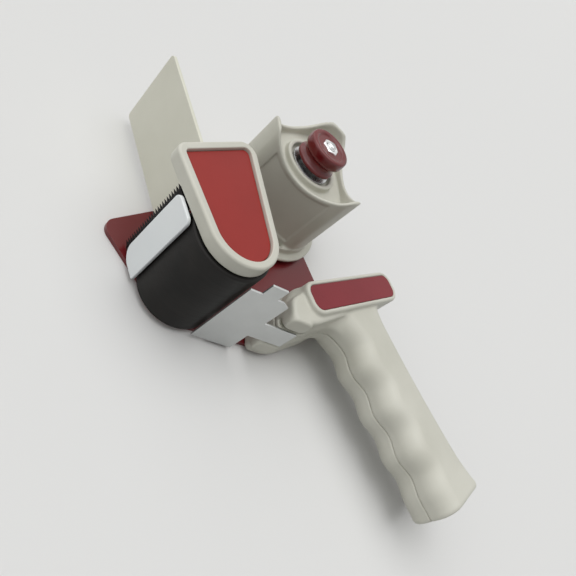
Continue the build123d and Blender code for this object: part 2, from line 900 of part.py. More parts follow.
with BuildPart() as handle_far:
    add(handle_shell.part)
    split(bisect_by=Plane.XY.offset(middle_z), keep=Keep.BOTTOM)
handle_far.part.label = "handle_far"
export_step(handle_far.part, "parts/handle_far.step")

label_inset = label_rim + label_gap
with BuildPart() as label_plate:
    with BuildSketch(Plane.XY.offset(top_near_z - label_depth)):
        with Locations(top_place):
            RectangleRounded(
                top_height - 2 * label_inset,
                top_length - 2 * label_inset,
                top_corner - label_inset,
            )
    extrude(amount=label_thickness)
    fillet(label_plate.faces().sort_by(Axis.Z)[-1].edges(), label_fillet)
label_plate.part.label = "label_plate"
export_step(label_plate.part, "parts/label_plate.step")

handle_screw_tip_z = middle_z + handle_screw_bite - screw_tip_room
with BuildPart() as handle_top_screws:
    with Locations(*[(x, y, screw_sink) for x, y in boss_places[:2]]):
        Cone(
            handle_screw_head_radius,
            handle_screw_radius,
            handle_screw_head_depth,
            align=(Align.CENTER, Align.CENTER, Align.MIN),
        )
        Cylinder(
            handle_screw_radius,
            handle_screw_tip_z - screw_sink,
            align=(Align.CENTER, Align.CENTER, Align.MIN),
        )
handle_top_screws.part.label = "handle_top_screws"
export_step(handle_top_screws.part, "parts/handle_top_screws.step")

with BuildPart() as handle_grip_screws:
    with Locations(*[(x, y, grip_seat_z) for x, y in boss_places[2:]]):
        Cylinder(
            handle_screw_head_radius,
            handle_screw_head_depth,
            align=(Align.CENTER, Align.CENTER, Align.MAX),
        )
        Cylinder(
            handle_screw_radius,
            handle_screw_tip_z - grip_seat_z,
            align=(Align.CENTER, Align.CENTER, Align.MIN),
        )
handle_grip_screws.part.label = "handle_grip_screws"
export_step(handle_grip_screws.part, "parts/handle_grip_screws.step")

# %% Tape hub: a three-winged drum that spins on a stud and grips the 76 mm core
hub_top = hub_low + hub_length


def hub_point(angle, radius):
    """Row X and Y at an angle from rear toward up round the hub's axis."""
    rear = hub_rear + radius * math.cos(math.radians(angle))
    up = hub_up + radius * math.sin(math.radians(angle))
    return side_point(rear, up)


def wing_outline(corner, side):
    """Closed winged outline: round corners of one radius joined by nearly flat sides."""
    wing_pitch = 360 / wing_count
    for wing in range(wing_count):
        angle = wing_turn + wing_pitch * wing
        ThreePointArc(
            hub_point(angle - wing_half_angle, corner),
            hub_point(angle, corner),
            hub_point(angle + wing_half_angle, corner),
        )
        ThreePointArc(
            hub_point(angle + wing_half_angle, corner),
            hub_point(angle + wing_pitch / 2, side),
            hub_point(angle + wing_pitch - wing_half_angle, corner),
        )


wing_radius = hub_core_radius - wing_inset
side_half_angle = math.radians(180 / wing_count - wing_half_angle)
side_half_width = wing_radius * math.sin(side_half_angle) + scallop_overrun
scallop_radius = (side_half_width ** 2 + scallop_depth ** 2) / (2 * scallop_depth)

with BuildPart() as hub_drum:
    with BuildSketch(Plane.XY.offset(hub_low)):
        with Locations(hub_place):
            Circle(hub_flange_radius)
    extrude(amount=hub_flange_thickness)
    with BuildSketch(Plane.XY.offset(hub_low)):
        with Locations(hub_place):
            Circle(hub_core_radius)
    extrude(amount=hub_flange_thickness + hub_seat_length)
    with BuildSketch(Plane.XY.offset(hub_low + hub_flange_thickness)):
        with Locations(hub_place):
            Circle(hub_core_radius - hub_wall)
    extrude(amount=hub_seat_length, mode=Mode.SUBTRACT)
    with BuildSketch(Plane.XY.offset(hub_low)):
        with BuildLine():
            wing_outline(wing_radius, hub_side_radius)
        make_face()
    extrude(amount=hub_length)
    with BuildSketch(Plane.XY.offset(hub_low)):
        with BuildLine():
            wing_outline(wing_radius - hub_wall, hub_side_radius - hub_wall)
        make_face()
    extrude(amount=hub_web_top - hub_web_thickness - hub_low, mode=Mode.SUBTRACT)
    with BuildSketch(Plane.XY.offset(hub_web_top)):
        with BuildLine():
            wing_outline(wing_radius - hub_wall, hub_side_radius - hub_wall)
        make_face()
    extrude(amount=hub_length, mode=Mode.SUBTRACT)
    with Locations((*hub_place, hub_low)):
        Cylinder(hub_boss_radius, hub_web_top - hub_low, align=(Align.CENTER, Align.CENTER, Align.MIN))
    with BuildSketch(Plane.XY.offset(hub_web_top)):
        with Locations(hub_place):
            Circle(collar_outer)
            Circle(collar_inner, mode=Mode.SUBTRACT)
    extrude(amount=collar_top - hub_web_top)
    for wing in range(wing_count):
        across = math.radians(wing_turn + 360 / wing_count * (wing + 1 / 2))
        axis_dir = (-math.sin(across), math.cos(across), 0)
        scallop_z = hub_top - scallop_depth + scallop_radius
        with BuildSketch(Plane(origin=(*hub_place, scallop_z), z_dir=axis_dir)):
            Circle(scallop_radius)
        extrude(amount=hub_flange_radius, mode=Mode.SUBTRACT)
    with Locations((*hub_place, hub_low)):
        Cylinder(
            bush_radius + seat_gap,
            hub_web_top - hub_low,
            align=(Align.CENTER, Align.CENTER, Align.MIN),
            mode=Mode.SUBTRACT,
        )
hub_drum.part.label = "hub_drum"
export_step(hub_drum.part, "parts/hub_drum.step")

with BuildPart() as hub_bush:
    with BuildSketch(Plane.XY.offset(hub_low)):
        with Locations(hub_place):
            Circle(bush_radius)
            Circle(stud_radius + running_gap, mode=Mode.SUBTRACT)
    extrude(amount=hub_web_top - hub_low)
hub_bush.part.label = "hub_bush"
export_step(hub_bush.part, "parts/hub_bush.step")

stud_flange_top = plate_top + stud_flange_thickness
with BuildPart() as hub_stud:
    with Locations((*hub_place, screw_sink)):
        Cylinder(
            stud_spigot_radius,
            plate_top - screw_sink,
            align=(Align.CENTER, Align.CENTER, Align.MIN),
        )
    with Locations((*hub_place, plate_top)):
        Cylinder(
            stud_flange_radius,
            stud_flange_thickness,
            align=(Align.CENTER, Align.CENTER, Align.MIN),
        )
        Cylinder(
            stud_radius,
            stud_shoulder_z - plate_top,
            align=(Align.CENTER, Align.CENTER, Align.MIN),
        )
        Cylinder(
            stud_thread_radius,
            stud_end_z - plate_top,
            align=(Align.CENTER, Align.CENTER, Align.MIN),
        )
hub_stud.part.label = "hub_stud"
export_step(hub_stud.part, "parts/hub_stud.step")

with BuildPart() as hub_washer:
    with BuildSketch(Plane.XY.offset(stud_flange_top)):
        with Locations(hub_place):
            Circle(hub_boss_radius)
            Circle(stud_radius + seat_gap, mode=Mode.SUBTRACT)
    extrude(amount=hub_washer_thickness)
hub_washer.part.label = "hub_washer"
export_step(hub_washer.part, "parts/hub_washer.step")

# %% Brake stack and tension knob on the stud's thread
felt_low = hub_web_top + running_gap
pressure_low = felt_low + felt_thickness
pressure_top = pressure_low + pressure_thickness

with BuildPart() as brake_felt:
    with BuildSketch(Plane.XY.offset(felt_low)):
        with Locations(hub_place):
            Circle(felt_outer)
            Circle(felt_inner, mode=Mode.SUBTRACT)
    extrude(amount=felt_thickness)
brake_felt.part.label = "brake_felt"
export_step(brake_felt.part, "parts/brake_felt.step")

with BuildPart() as pressure_washer:
    with BuildSketch(Plane.XY.offset(pressure_low)):
        with Locations(hub_place):
            Circle(pressure_outer)
            Circle(pressure_inner, mode=Mode.SUBTRACT)
    extrude(amount=pressure_thickness)
pressure_washer.part.label = "pressure_washer"
export_step(pressure_washer.part, "parts/pressure_washer.step")

spring_height = spring_top_z - pressure_top - 2 * spring_wire
spring_pitch = spring_height / spring_turns
with BuildPart() as tension_spring:
    with BuildLine() as spring_path:
        Helix(spring_pitch, spring_height, spring_radius, center=(*hub_place, pressure_top + spring_wire))
    with BuildSketch(Plane(origin=spring_path.line @ 0, z_dir=spring_path.line % 0)):
        Circle(spring_wire)
    sweep(path=spring_path.line, is_frenet=True)
tension_spring.part.label = "tension_spring"
export_step(tension_spring.part, "parts/tension_spring.step")
print("tension spring least gap between turns:", round(spring_pitch - 2 * spring_wire, 3), "mm")

with BuildPart() as spring_cap:
    with BuildSketch(Plane.XY.offset(spring_top_z)):
        with Locations(hub_place):
            Circle(cap_outer)
            Circle(cap_inner, mode=Mode.SUBTRACT)
    extrude(amount=cap_thickness)
spring_cap.part.label = "spring_cap"
export_step(spring_cap.part, "parts/spring_cap.step")

nut_circle = nut_flats / math.sqrt(3)
with BuildPart() as tension_knob:
    with Locations((*hub_place, knob_foot_low)):
        Cylinder(knob_foot_radius, knob_foot_height, align=(Align.CENTER, Align.CENTER, Align.MIN))
        Cylinder(
            knob_neck_radius,
            knob_top - knob_foot_low,
            align=(Align.CENTER, Align.CENTER, Align.MIN),
        )
    with Locations((*hub_place, knob_head_low)):
        Cylinder(
            knob_head_radius,
            knob_top - knob_head_low,
            align=(Align.CENTER, Align.CENTER, Align.MIN),
        )
    fillet(tension_knob.faces().sort_by(Axis.Z)[-1].edges(), knob_edge)
    with Locations((*hub_place, knob_foot_low)):
        Cylinder(
            knob_cavity_radius,
            knob_head_low - knob_foot_low,
            align=(Align.CENTER, Align.CENTER, Align.MIN),
            mode=Mode.SUBTRACT,
        )
        Cylinder(
            stud_thread_radius + running_gap,
            knob_top - knob_foot_low,
            align=(Align.CENTER, Align.CENTER, Align.MIN),
            mode=Mode.SUBTRACT,
        )
    with Locations((*hub_place, knob_top)):
        Cylinder(
            knob_dish_radius,
            knob_dish_depth,
            align=(Align.CENTER, Align.CENTER, Align.MAX),
            mode=Mode.SUBTRACT,
        )
    with BuildSketch(Plane.XY.offset(knob_top)):
        with Locations(hub_place):
            RegularPolygon(nut_circle + nut_gap, 6)
    extrude(amount=-nut_thickness, mode=Mode.SUBTRACT)
tension_knob.part.label = "tension_knob"
export_step(tension_knob.part, "parts/tension_knob.step")

with BuildPart() as knob_nut:
    with BuildSketch(Plane.XY.offset(knob_top)):
        with Locations(hub_place):
            RegularPolygon(nut_circle, 6)
            Circle(stud_thread_radius + running_gap, mode=Mode.SUBTRACT)
    extrude(amount=-nut_thickness)
knob_nut.part.label = "knob_nut"
export_step(knob_nut.part, "parts/knob_nut.step")
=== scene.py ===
# %% [markdown]
# # A hand tape gun, dressed for the camera
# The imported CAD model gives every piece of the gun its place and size. This lesson keeps that
# frame, gives each piece the finish that the real one has, and adds the small forms that a
# moulder or a press tool leaves behind. All lengths are metres unless a name ends in mm.

# %% Load the frame
import math

import bpy
import numpy as np
from mathutils import Matrix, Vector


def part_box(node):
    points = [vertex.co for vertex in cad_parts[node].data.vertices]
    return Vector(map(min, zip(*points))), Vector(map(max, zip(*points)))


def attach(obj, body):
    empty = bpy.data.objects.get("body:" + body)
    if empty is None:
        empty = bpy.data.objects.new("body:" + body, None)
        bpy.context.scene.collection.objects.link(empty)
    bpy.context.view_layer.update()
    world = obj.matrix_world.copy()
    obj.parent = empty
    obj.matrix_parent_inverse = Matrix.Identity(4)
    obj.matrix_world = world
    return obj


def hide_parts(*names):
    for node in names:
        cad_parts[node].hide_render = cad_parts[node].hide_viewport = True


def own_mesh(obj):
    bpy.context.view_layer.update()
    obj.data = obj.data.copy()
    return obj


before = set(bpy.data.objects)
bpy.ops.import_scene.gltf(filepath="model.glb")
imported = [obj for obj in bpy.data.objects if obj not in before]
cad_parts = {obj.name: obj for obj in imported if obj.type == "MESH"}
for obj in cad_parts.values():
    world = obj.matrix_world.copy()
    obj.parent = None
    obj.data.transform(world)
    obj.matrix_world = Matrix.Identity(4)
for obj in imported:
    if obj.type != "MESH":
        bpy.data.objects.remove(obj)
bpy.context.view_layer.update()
MM = 0.001

# %% [markdown]
# ## The camera
# The gun lies on its far side plate, and the picture looks at it from the roller's side, from
# about 37 degrees up, with the camera rolled so that the flap points up and the handle hangs
# down to the right. A close camera with a wide lens gives the strong perspective of the picture.

# %% Camera
EYE = np.array([41.5, -238.5, 205.5]) * MM
AIM = np.array([-4.4, -15.6, 33.9]) * MM
ROLL = math.radians(-55.0)
LENS_MM, SENSOR_MM, NEAREST = 34.0, 36.0, 0.01


def turned_to(x_axis, y_axis, z_axis, place=(0.0, 0.0, 0.0)):
    """Pose matrix whose columns are the three axes and the place."""
    pose = np.eye(4)
    pose[:3] = np.column_stack([x_axis, y_axis, z_axis, place])
    return Matrix(pose.tolist())


forward = (AIM - EYE) / np.linalg.norm(AIM - EYE)
level_right = np.cross(forward, (0.0, 0.0, 1.0))
level_right /= np.linalg.norm(level_right)
level_up = np.cross(level_right, forward)
camera_up = math.cos(ROLL) * level_up + math.sin(ROLL) * level_right
camera_right = np.cross(forward, camera_up)

camera_data = bpy.data.cameras.new("photo_camera")
camera_data.sensor_width, camera_data.lens = SENSOR_MM, LENS_MM
camera_data.clip_start = NEAREST
camera = bpy.data.objects.new("photo_camera", camera_data)
bpy.context.collection.objects.link(camera)
camera.matrix_world = turned_to(camera_right, camera_up, -forward, EYE)
bpy.context.scene.camera = camera
print("camera looks along", forward.round(3))

# %% [markdown]
# ## One node helper and one colour helper
# Every finish below is a small node tree. One function adds a node with its settings and links,
# and one turns the hex colours of a paint chart into the linear values that shaders use. Two more
# start a finish and turn a size in mm into the scale of a texture.

# %% Helpers for finishes
def linear(hex_colour):
    """sRGB hex to linear RGBA: c/12.92 below 0.04045, else ((c + 0.055)/1.055) to the 2.4."""
    srgb = np.array([int(hex_colour[i:i + 2], 16) for i in (1, 3, 5)]) / 255.0
    rgb = np.where(srgb <= 0.04045, srgb / 12.92, ((srgb + 0.055) / 1.055) ** 2.4)
    return (*rgb.tolist(), 1.0)


def add(tree, kind, settings=None, **links):
    """Adds a node. settings are attributes or input values, links are input name to socket."""
    node = tree.nodes.new(kind)
    for name, value in (settings or {}).items():
        if name in node.inputs:
            node.inputs[name].default_value = value
        else:
            setattr(node, name, value)
    for name, socket in links.items():
        tree.links.new(socket, node.inputs[name.replace("_", " ")])
    return node


def new_finish(name, **sockets):
    """An empty finish: a Principled shader with its constant sockets set, and Object coordinates."""
    finish = bpy.data.materials.new(name)
    finish.use_nodes = True
    tree = finish.node_tree
    tree.nodes.clear()
    shader = add(tree, "ShaderNodeBsdfPrincipled",
                 {socket.replace("_", " "): value for socket, value in sockets.items()})
    add(tree, "ShaderNodeOutputMaterial", Surface=shader.outputs[0])
    place = add(tree, "ShaderNodeTexCoord").outputs["Object"]
    return finish, tree, shader, place


def per_mm(size_mm):
    """Texture scale for features of size_mm in Object coordinates: one over the size in metres."""
    return 1.0 / (size_mm * MM)


print("mid grey in linear light:", round(linear("#808080")[0], 3), "scale of 1 mm:", per_mm(1.0))

# %% [markdown]
# ## Moulded plastics
# The handle, the hub and the cheek are injection moulded ABS from a spark-eroded tool. The eye
# sees a soft satin sheen, a grain of about a third of a millimetre, and a colour that drifts a
# little where the plastic has yellowed or been handled. The grain is drawn at 0.6 mm, coarser
# than the real one, because finer grain would not show in the render. The red panels, the knob,
# the strip and the flap come from polished tools, so their grain is fainter. A picture of plastic
# could be wrapped on, but noise in Object coordinates has a true size in mm and no seams.

# %% Moulded plastics
GRAIN_DEEP_MM = 0.1


def moulded_plastic(name, pale, dull, grain_mm, bump, rough, drift_mm=38.0, **sockets):
    """Satin moulding: slow colour drift between two tones, fine grain as bump, uneven roughness."""
    finish, tree, shader, place = new_finish(name, **sockets)
    drift = add(tree, "ShaderNodeTexNoise", {"Scale": per_mm(drift_mm), "Detail": 4.0}, Vector=place)
    tone = add(tree, "ShaderNodeValToRGB", None, Fac=drift.outputs["Fac"])
    low, high = tone.color_ramp.elements
    low.position, low.color, high.position, high.color = 0.32, linear(dull), 0.68, linear(pale)
    tree.links.new(tone.outputs["Color"], shader.inputs["Base Color"])
    grain = add(tree, "ShaderNodeTexNoise", {"Scale": per_mm(grain_mm), "Detail": 2.0}, Vector=place)
    sheen = add(tree, "ShaderNodeMapRange", {"To Min": rough[0], "To Max": rough[1]},
                Value=grain.outputs["Fac"])
    tree.links.new(sheen.outputs["Result"], shader.inputs["Roughness"])
    relief = add(tree, "ShaderNodeBump", {"Strength": bump, "Distance": GRAIN_DEEP_MM * MM},
                 Height=grain.outputs["Fac"])
    tree.links.new(relief.outputs["Normal"], shader.inputs["Normal"])
    return finish


CREAM_ABS = moulded_plastic("cream ABS moulding", "#CFCEC3", "#C4C3B7", grain_mm=0.6, bump=0.25,
                            rough=(0.38, 0.52), IOR=1.53)
FLAP_PP = moulded_plastic("cream polypropylene sheet", "#E0DFD1", "#D8D7C8", grain_mm=0.9, bump=0.1,
                          rough=(0.34, 0.46), IOR=1.49)
RED_ABS = moulded_plastic("red satin ABS panel", "#96261F", "#8C211B", grain_mm=1.2, bump=0.03,
                          rough=(0.36, 0.44), IOR=1.53, Specular_IOR_Level=0.32)
LABEL_ABS = moulded_plastic("crimson satin ABS label", "#80222B", "#771E26", grain_mm=1.2, bump=0.03,
                            rough=(0.36, 0.44), IOR=1.53, Specular_IOR_Level=0.32)
KNOB_ABS = moulded_plastic("dark red ABS knob", "#6E1518", "#641215", grain_mm=1.2, bump=0.03,
                           rough=(0.2, 0.28), IOR=1.53)
WHITE_ACETAL = moulded_plastic("white acetal strip", "#F0F4F5", "#EAEFF1", grain_mm=1.2, bump=0.04,
                               rough=(0.3, 0.4), IOR=1.48)
BLACK_NYLON = moulded_plastic("black nylon moulding", "#26262A", "#1E1E20", grain_mm=0.6, bump=0.2,
                              rough=(0.42, 0.55), IOR=1.53)
PLASTICS = (CREAM_ABS, FLAP_PP, RED_ABS, LABEL_ABS, KNOB_ABS, WHITE_ACETAL, BLACK_NYLON)
print("plastics:", [plastic.name for plastic in PLASTICS])

# %% [markdown]
# ## Red enamel on steel, darkened with painted shade
# The far side plate is sprayed steel. Enamel flows before it sets, so it shows a slow orange
# peel of a few millimetres under a harder gloss than the mouldings have. The same node tree serves
# with a coarser grain and a thin clear coat. Both of its reds are darker than the plate's own
# enamel: they are painted shade for the far plate, which lies in shade inside the head.

# %% Red enamel with painted shade
# Both tones are painted shade: darker than the red enamel really is, standing in for the shade on the
# far plate.
RED_ENAMEL_WITH_PAINTED_SHADE = moulded_plastic("red enamel on steel with painted shade", "#6E161B", "#651318", grain_mm=3.0, bump=0.02,
                             rough=(0.26, 0.34), drift_mm=60.0, IOR=1.5, Coat_Weight=0.15,
                             Coat_Roughness=0.15)
print("made", RED_ENAMEL_WITH_PAINTED_SHADE.name)

# %% [markdown]
# ## Ground rubber
# The roller's sleeve is cast rubber ground round on a mandrel. Grinding leaves fine rings and a
# dull, nearly black face. The rings run round Z and could be a wave texture, but a noise squeezed
# flat in Z is less regular, as grinding is.

# %% Black rubber
BLOOM_MM, RING_LONG_MM, RING_MM, RING_DEEP_MM = 14.0, 40.0, 0.8, 0.1


def ground_rubber(name):
    """Dull black: rings from noise sampled finely along Z, and a faint bloom of dust."""
    finish, tree, shader, place = new_finish(name, IOR=1.52, Specular_IOR_Level=0.2)
    bloom = add(tree, "ShaderNodeTexNoise", {"Scale": per_mm(BLOOM_MM), "Detail": 5.0}, Vector=place)
    tone = add(tree, "ShaderNodeValToRGB", None, Fac=bloom.outputs["Fac"])
    low, high = tone.color_ramp.elements
    low.position, low.color, high.position, high.color = 0.3, linear("#161514"), 0.75, linear("#211F1D")
    tree.links.new(tone.outputs["Color"], shader.inputs["Base Color"])
    ring_scale = (per_mm(RING_LONG_MM), per_mm(RING_LONG_MM), per_mm(RING_MM))
    rings_at = add(tree, "ShaderNodeMapping", {"Scale": ring_scale}, Vector=place)
    rings = add(tree, "ShaderNodeTexNoise", {"Scale": 1.0, "Detail": 3.0},
                Vector=rings_at.outputs["Vector"])
    sheen = add(tree, "ShaderNodeMapRange", {"To Min": 0.42, "To Max": 0.62},
                Value=rings.outputs["Fac"])
    tree.links.new(sheen.outputs["Result"], shader.inputs["Roughness"])
    relief = add(tree, "ShaderNodeBump", {"Strength": 0.2, "Distance": RING_DEEP_MM * MM},
                 Height=rings.outputs["Fac"])
    tree.links.new(relief.outputs["Normal"], shader.inputs["Normal"])
    return finish


RUBBER = ground_rubber("ground black rubber")
print("made", RUBBER.name)

# %% [markdown]
# ## Zinc-plated steel and blackened blade steel
# The base sheet, pins and screws are steel with a thin bright zinc coat: grey, slightly cloudy,
# with rolling streaks a few tenths of a millimetre wide. The blade is the same kind of strip but
# oil blackened, so it stays dark. The streaks are a noise drawn out along Z, wide enough to show in
# the render.

# %% Plated metals
STREAK_LONG_MM, STREAK_DEEP_MM = 25.0, 0.05


def plated_steel(name, bright, dim, rough, streak_mm, cloud_mm):
    """Metal: clouds mix two greys, streaks along Z set roughness and a slight bump."""
    finish, tree, shader, place = new_finish(name, Metallic=1.0)
    clouds = add(tree, "ShaderNodeTexNoise", {"Scale": per_mm(cloud_mm), "Detail": 5.0}, Vector=place)
    tone = add(tree, "ShaderNodeValToRGB", None, Fac=clouds.outputs["Fac"])
    low, high = tone.color_ramp.elements
    low.position, low.color, high.position, high.color = 0.3, linear(dim), 0.7, linear(bright)
    tree.links.new(tone.outputs["Color"], shader.inputs["Base Color"])
    streak_scale = (per_mm(streak_mm), per_mm(streak_mm), per_mm(STREAK_LONG_MM))
    lay = add(tree, "ShaderNodeMapping", {"Scale": streak_scale}, Vector=place)
    streaks = add(tree, "ShaderNodeTexNoise", {"Scale": 1.0, "Detail": 3.0},
                  Vector=lay.outputs["Vector"])
    sheen = add(tree, "ShaderNodeMapRange", {"To Min": rough[0], "To Max": rough[1]},
                Value=streaks.outputs["Fac"])
    tree.links.new(sheen.outputs["Result"], shader.inputs["Roughness"])
    relief = add(tree, "ShaderNodeBump", {"Strength": 0.1, "Distance": STREAK_DEEP_MM * MM},
                 Height=streaks.outputs["Fac"])
    tree.links.new(relief.outputs["Normal"], shader.inputs["Normal"])
    return finish


ZINC_SHEET = plated_steel("zinc-plated sheet steel", "#C4C6C5", "#BCBEBD", rough=(0.4, 0.5),
                          streak_mm=0.7, cloud_mm=16.0)
ZINC_PARTS = plated_steel("bright zinc hardware", "#E2E3E3", "#CDCFD0", rough=(0.2, 0.34),
                          streak_mm=0.5, cloud_mm=5.0)
NUT_ZINC = plated_steel("bright zinc nut", "#F4F5F5", "#E9EAEA", rough=(0.28, 0.4),
                        streak_mm=0.5, cloud_mm=5.0)
SPRING_WIRE = plated_steel("drawn spring wire", "#A9ABAE", "#97999C", rough=(0.24, 0.36),
                           streak_mm=0.3, cloud_mm=4.0)
BLADE_STEEL = plated_steel("oil-blackened blade steel", "#2B2A2A", "#1C1B1B", rough=(0.42, 0.58),
                           streak_mm=0.4, cloud_mm=3.0)
METALS = (ZINC_SHEET, ZINC_PARTS, NUT_ZINC, SPRING_WIRE, BLADE_STEEL)
print("metals:", [metal.name for metal in METALS])

# %% [markdown]
# ## Pressed felt
# The brake ring is wool felt: no gloss at all, with fibres that blur its colour. The fibres could be
# hair, but the ring lies deep in the hub, so a strong bump on the plastic's node tree is enough.

# %% Felt
FELT = moulded_plastic("pressed grey felt", "#7A7874", "#66645F", grain_mm=0.8, bump=0.8,
                       rough=(0.9, 1.0), drift_mm=3.0, IOR=1.45)
print("made", FELT.name)

# %% [markdown]
# ## Dress the CAD nodes
# Each CAD node takes the finish of the real piece. Most have the right shape already, so only their
# material slots change. The few that are built again below are dressed too, so no node stays bare.

# %% Assign finishes
NODE_FINISH = {
    CREAM_ABS: ["near_cheek", "handle_near", "handle_far", "hub_drum"],
    FLAP_PP: ["flap"],
    RED_ABS: ["cheek_panel"],
    LABEL_ABS: ["label_plate"],
    KNOB_ABS: ["tension_knob"],
    # The side frame's enamel carries painted shade in its darkened reds.
    RED_ENAMEL_WITH_PAINTED_SHADE: ["side_frame"],
    WHITE_ACETAL: ["front_strip"],
    RUBBER: ["roller_sleeve"],
    BLACK_NYLON: ["roller_core", "hub_bush", "blade_bar"],
    BLADE_STEEL: ["blade"],
    ZINC_SHEET: ["base_sheet"],
    SPRING_WIRE: ["flap_spring", "tension_spring"],
    FELT: ["brake_felt"],
    ZINC_PARTS: ["tie_post", "far_screws", "near_screws", "roller_axle", "thrust_washers",
                 "blade_screws", "flap_pin", "base_rivets", "handle_top_screws",
                 "handle_grip_screws", "hub_stud", "hub_washer", "pressure_washer", "spring_cap",
                 "knob_nut"],
}
for finish, names in NODE_FINISH.items():
    for name in names:
        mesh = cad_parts[name].data
        mesh.materials.clear()
        mesh.materials.append(finish)
print("dressed nodes:", sum(map(len, NODE_FINISH.values())), "of", len(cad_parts))

# %% [markdown]
# ## Soft edges
# No moulding or pressing ends in a razor edge: tools are rounded and sheets are tumbled. The CAD
# solids arrive as loose triangles, so each node is welded first, its flat neighbours are joined,
# and a narrow bevel then rounds every edge sharper than 35 degrees. A weighted normal keeps the
# flat faces flat, so only the rounded edge catches the light. The wire of the flap's spring is too
# fine for a bevel, so its sharp edges are only split.

# %% Soften the CAD edges
EDGE_MM = {
    0.6: ["near_cheek"],
    0.45: ["flap", "front_strip"],
    0.3: ["base_sheet", "label_plate", "roller_sleeve", "blade_bar"],
    0.2: ["cheek_panel", "base_rivets", "spring_cap", "hub_washer", "pressure_washer", "tie_post",
          "flap_pin", "roller_axle", "roller_core", "hub_bush", "thrust_washers", "far_screws",
          "near_screws", "blade_screws", "handle_top_screws", "handle_grip_screws", "brake_felt"],
    0.09: ["side_frame"],
    0.0: ["flap_spring"],
}
WELD_MM, BEVEL_SEGMENTS = 0.001, 2
SAME_FLAT, SHARP = math.radians(1.0), math.radians(35.0)


def soften(node, edge_mm):
    """Weld, join flat neighbours, bevel the sharp edges by edge_mm, and weight the normals."""
    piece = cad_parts[node]
    mesh = piece.data
    if "custom_normal" in mesh.attributes:
        mesh.attributes.remove(mesh.attributes["custom_normal"])
    mesh.polygons.foreach_set("use_smooth", np.ones(len(mesh.polygons), dtype=bool))
    weld = piece.modifiers.new("weld", "WELD")
    weld.merge_threshold = WELD_MM * MM
    if edge_mm > 0.0:
        flats = piece.modifiers.new("flats", "DECIMATE")
        flats.decimate_type, flats.angle_limit = "DISSOLVE", SAME_FLAT
        edge = piece.modifiers.new("edge", "BEVEL")
        edge.limit_method, edge.angle_limit = "ANGLE", SHARP
        edge.width, edge.segments, edge.use_clamp_overlap = edge_mm * MM, BEVEL_SEGMENTS, False
    else:
        crease = piece.modifiers.new("crease", "EDGE_SPLIT")
        crease.split_angle = SHARP
    shade = piece.modifiers.new("shade", "WEIGHTED_NORMAL")
    shade.keep_sharp = False


for edge_mm, names in EDGE_MM.items():
    for name in names:
        soften(name, edge_mm)
print("softened nodes:", sum(map(len, EDGE_MM.values())))

# %% [markdown]
# ## Surfaces from arrays
# The turned and wound pieces are grids of points. A profile of radius and height is carried round
# the hub's axis, or a small circle is carried along a coil. A Screw modifier could turn them too,
# but arrays keep the formula in sight. One function makes quads of any such grid.

# %% Grid to mesh
def mesh_piece(name, points, faces, finish, body, replaces):
    """A smooth shaded piece from points in metres and faces, riding a body in place of CAD nodes."""
    mesh = bpy.data.meshes.new(name)
    mesh.from_pydata(points.tolist(), [], faces)
    mesh.polygons.foreach_set("use_smooth", np.ones(len(mesh.polygons), dtype=bool))
    mesh.materials.append(finish)
    piece = bpy.data.objects.new(name, mesh)
    bpy.context.collection.objects.link(piece)
    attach(piece, body)
    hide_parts(*replaces)
    print(name, "faces:", len(faces))
    return piece


def skin(name, grid, finish, body, replaces, close_rows=False):
    """Quads over a rows by columns grid whose columns close; rows close too, or end in caps."""
    rows, columns = grid.shape[:2]
    index = np.arange(rows * columns).reshape(rows, columns)
    if close_rows:
        index = np.vstack([index, index[:1]])
    ring = np.hstack([index, index[:, :1]])
    corners = [ring[:-1, :-1], ring[:-1, 1:], ring[1:, 1:], ring[1:, :-1]]
    faces = np.stack(corners, axis=-1).reshape(-1, 4).tolist()
    if not close_rows:
        faces += [index[0, ::-1].tolist(), index[-1].tolist()]
    return mesh_piece(name, grid.reshape(-1, 3), faces, finish, body, replaces)


# %% Places and turns
def middle_mm(box):
    """Middle of a box: half the sum of its two corners, from metres to mm."""
    return (np.array(box[0]) + np.array(box[1])) / (2.0 * MM)


HUB_AXIS_MM = middle_mm(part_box("hub_bush"))[:2]
ROLLER_MM = middle_mm(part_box("roller_sleeve"))


def full_turn(columns):
    """Even angles round a circle: column times 2 pi over the number of columns."""
    return np.linspace(0.0, 2.0 * np.pi, columns, endpoint=False)


def about_hub(radius, angle, height):
    """Points round the hub's axis: x = axis + r cos a, y = axis + r sin a, z = height, in mm."""
    x = HUB_AXIS_MM[0] + radius * np.cos(angle)
    y = HUB_AXIS_MM[1] + radius * np.sin(angle)
    return np.stack(np.broadcast_arrays(x, y, height), axis=-1)


def cut_corners(points, rounds):
    """Rounds a closed polygon: each side keeps the points at a quarter and three quarters of it."""
    points = np.array(points)
    for _ in range(rounds):
        after = np.roll(points, -1, axis=0)
        pairs = [0.75 * points + 0.25 * after, 0.25 * points + 0.75 * after]
        points = np.stack(pairs, axis=1).reshape(-1, 2)
    return points


print("hub axis mm:", HUB_AXIS_MM.round(2), "roller axle mm:", ROLLER_MM.round(2))

# %% [markdown]
# ## Tension knob
# The knob is a turned shape in dark red ABS: a foot, a soft waist for two fingers and a rounded
# head with a dished face. Its profile could be a drawn curve, but straight runs with their corners
# cut three times give the same flowing waist from a list of sizes.

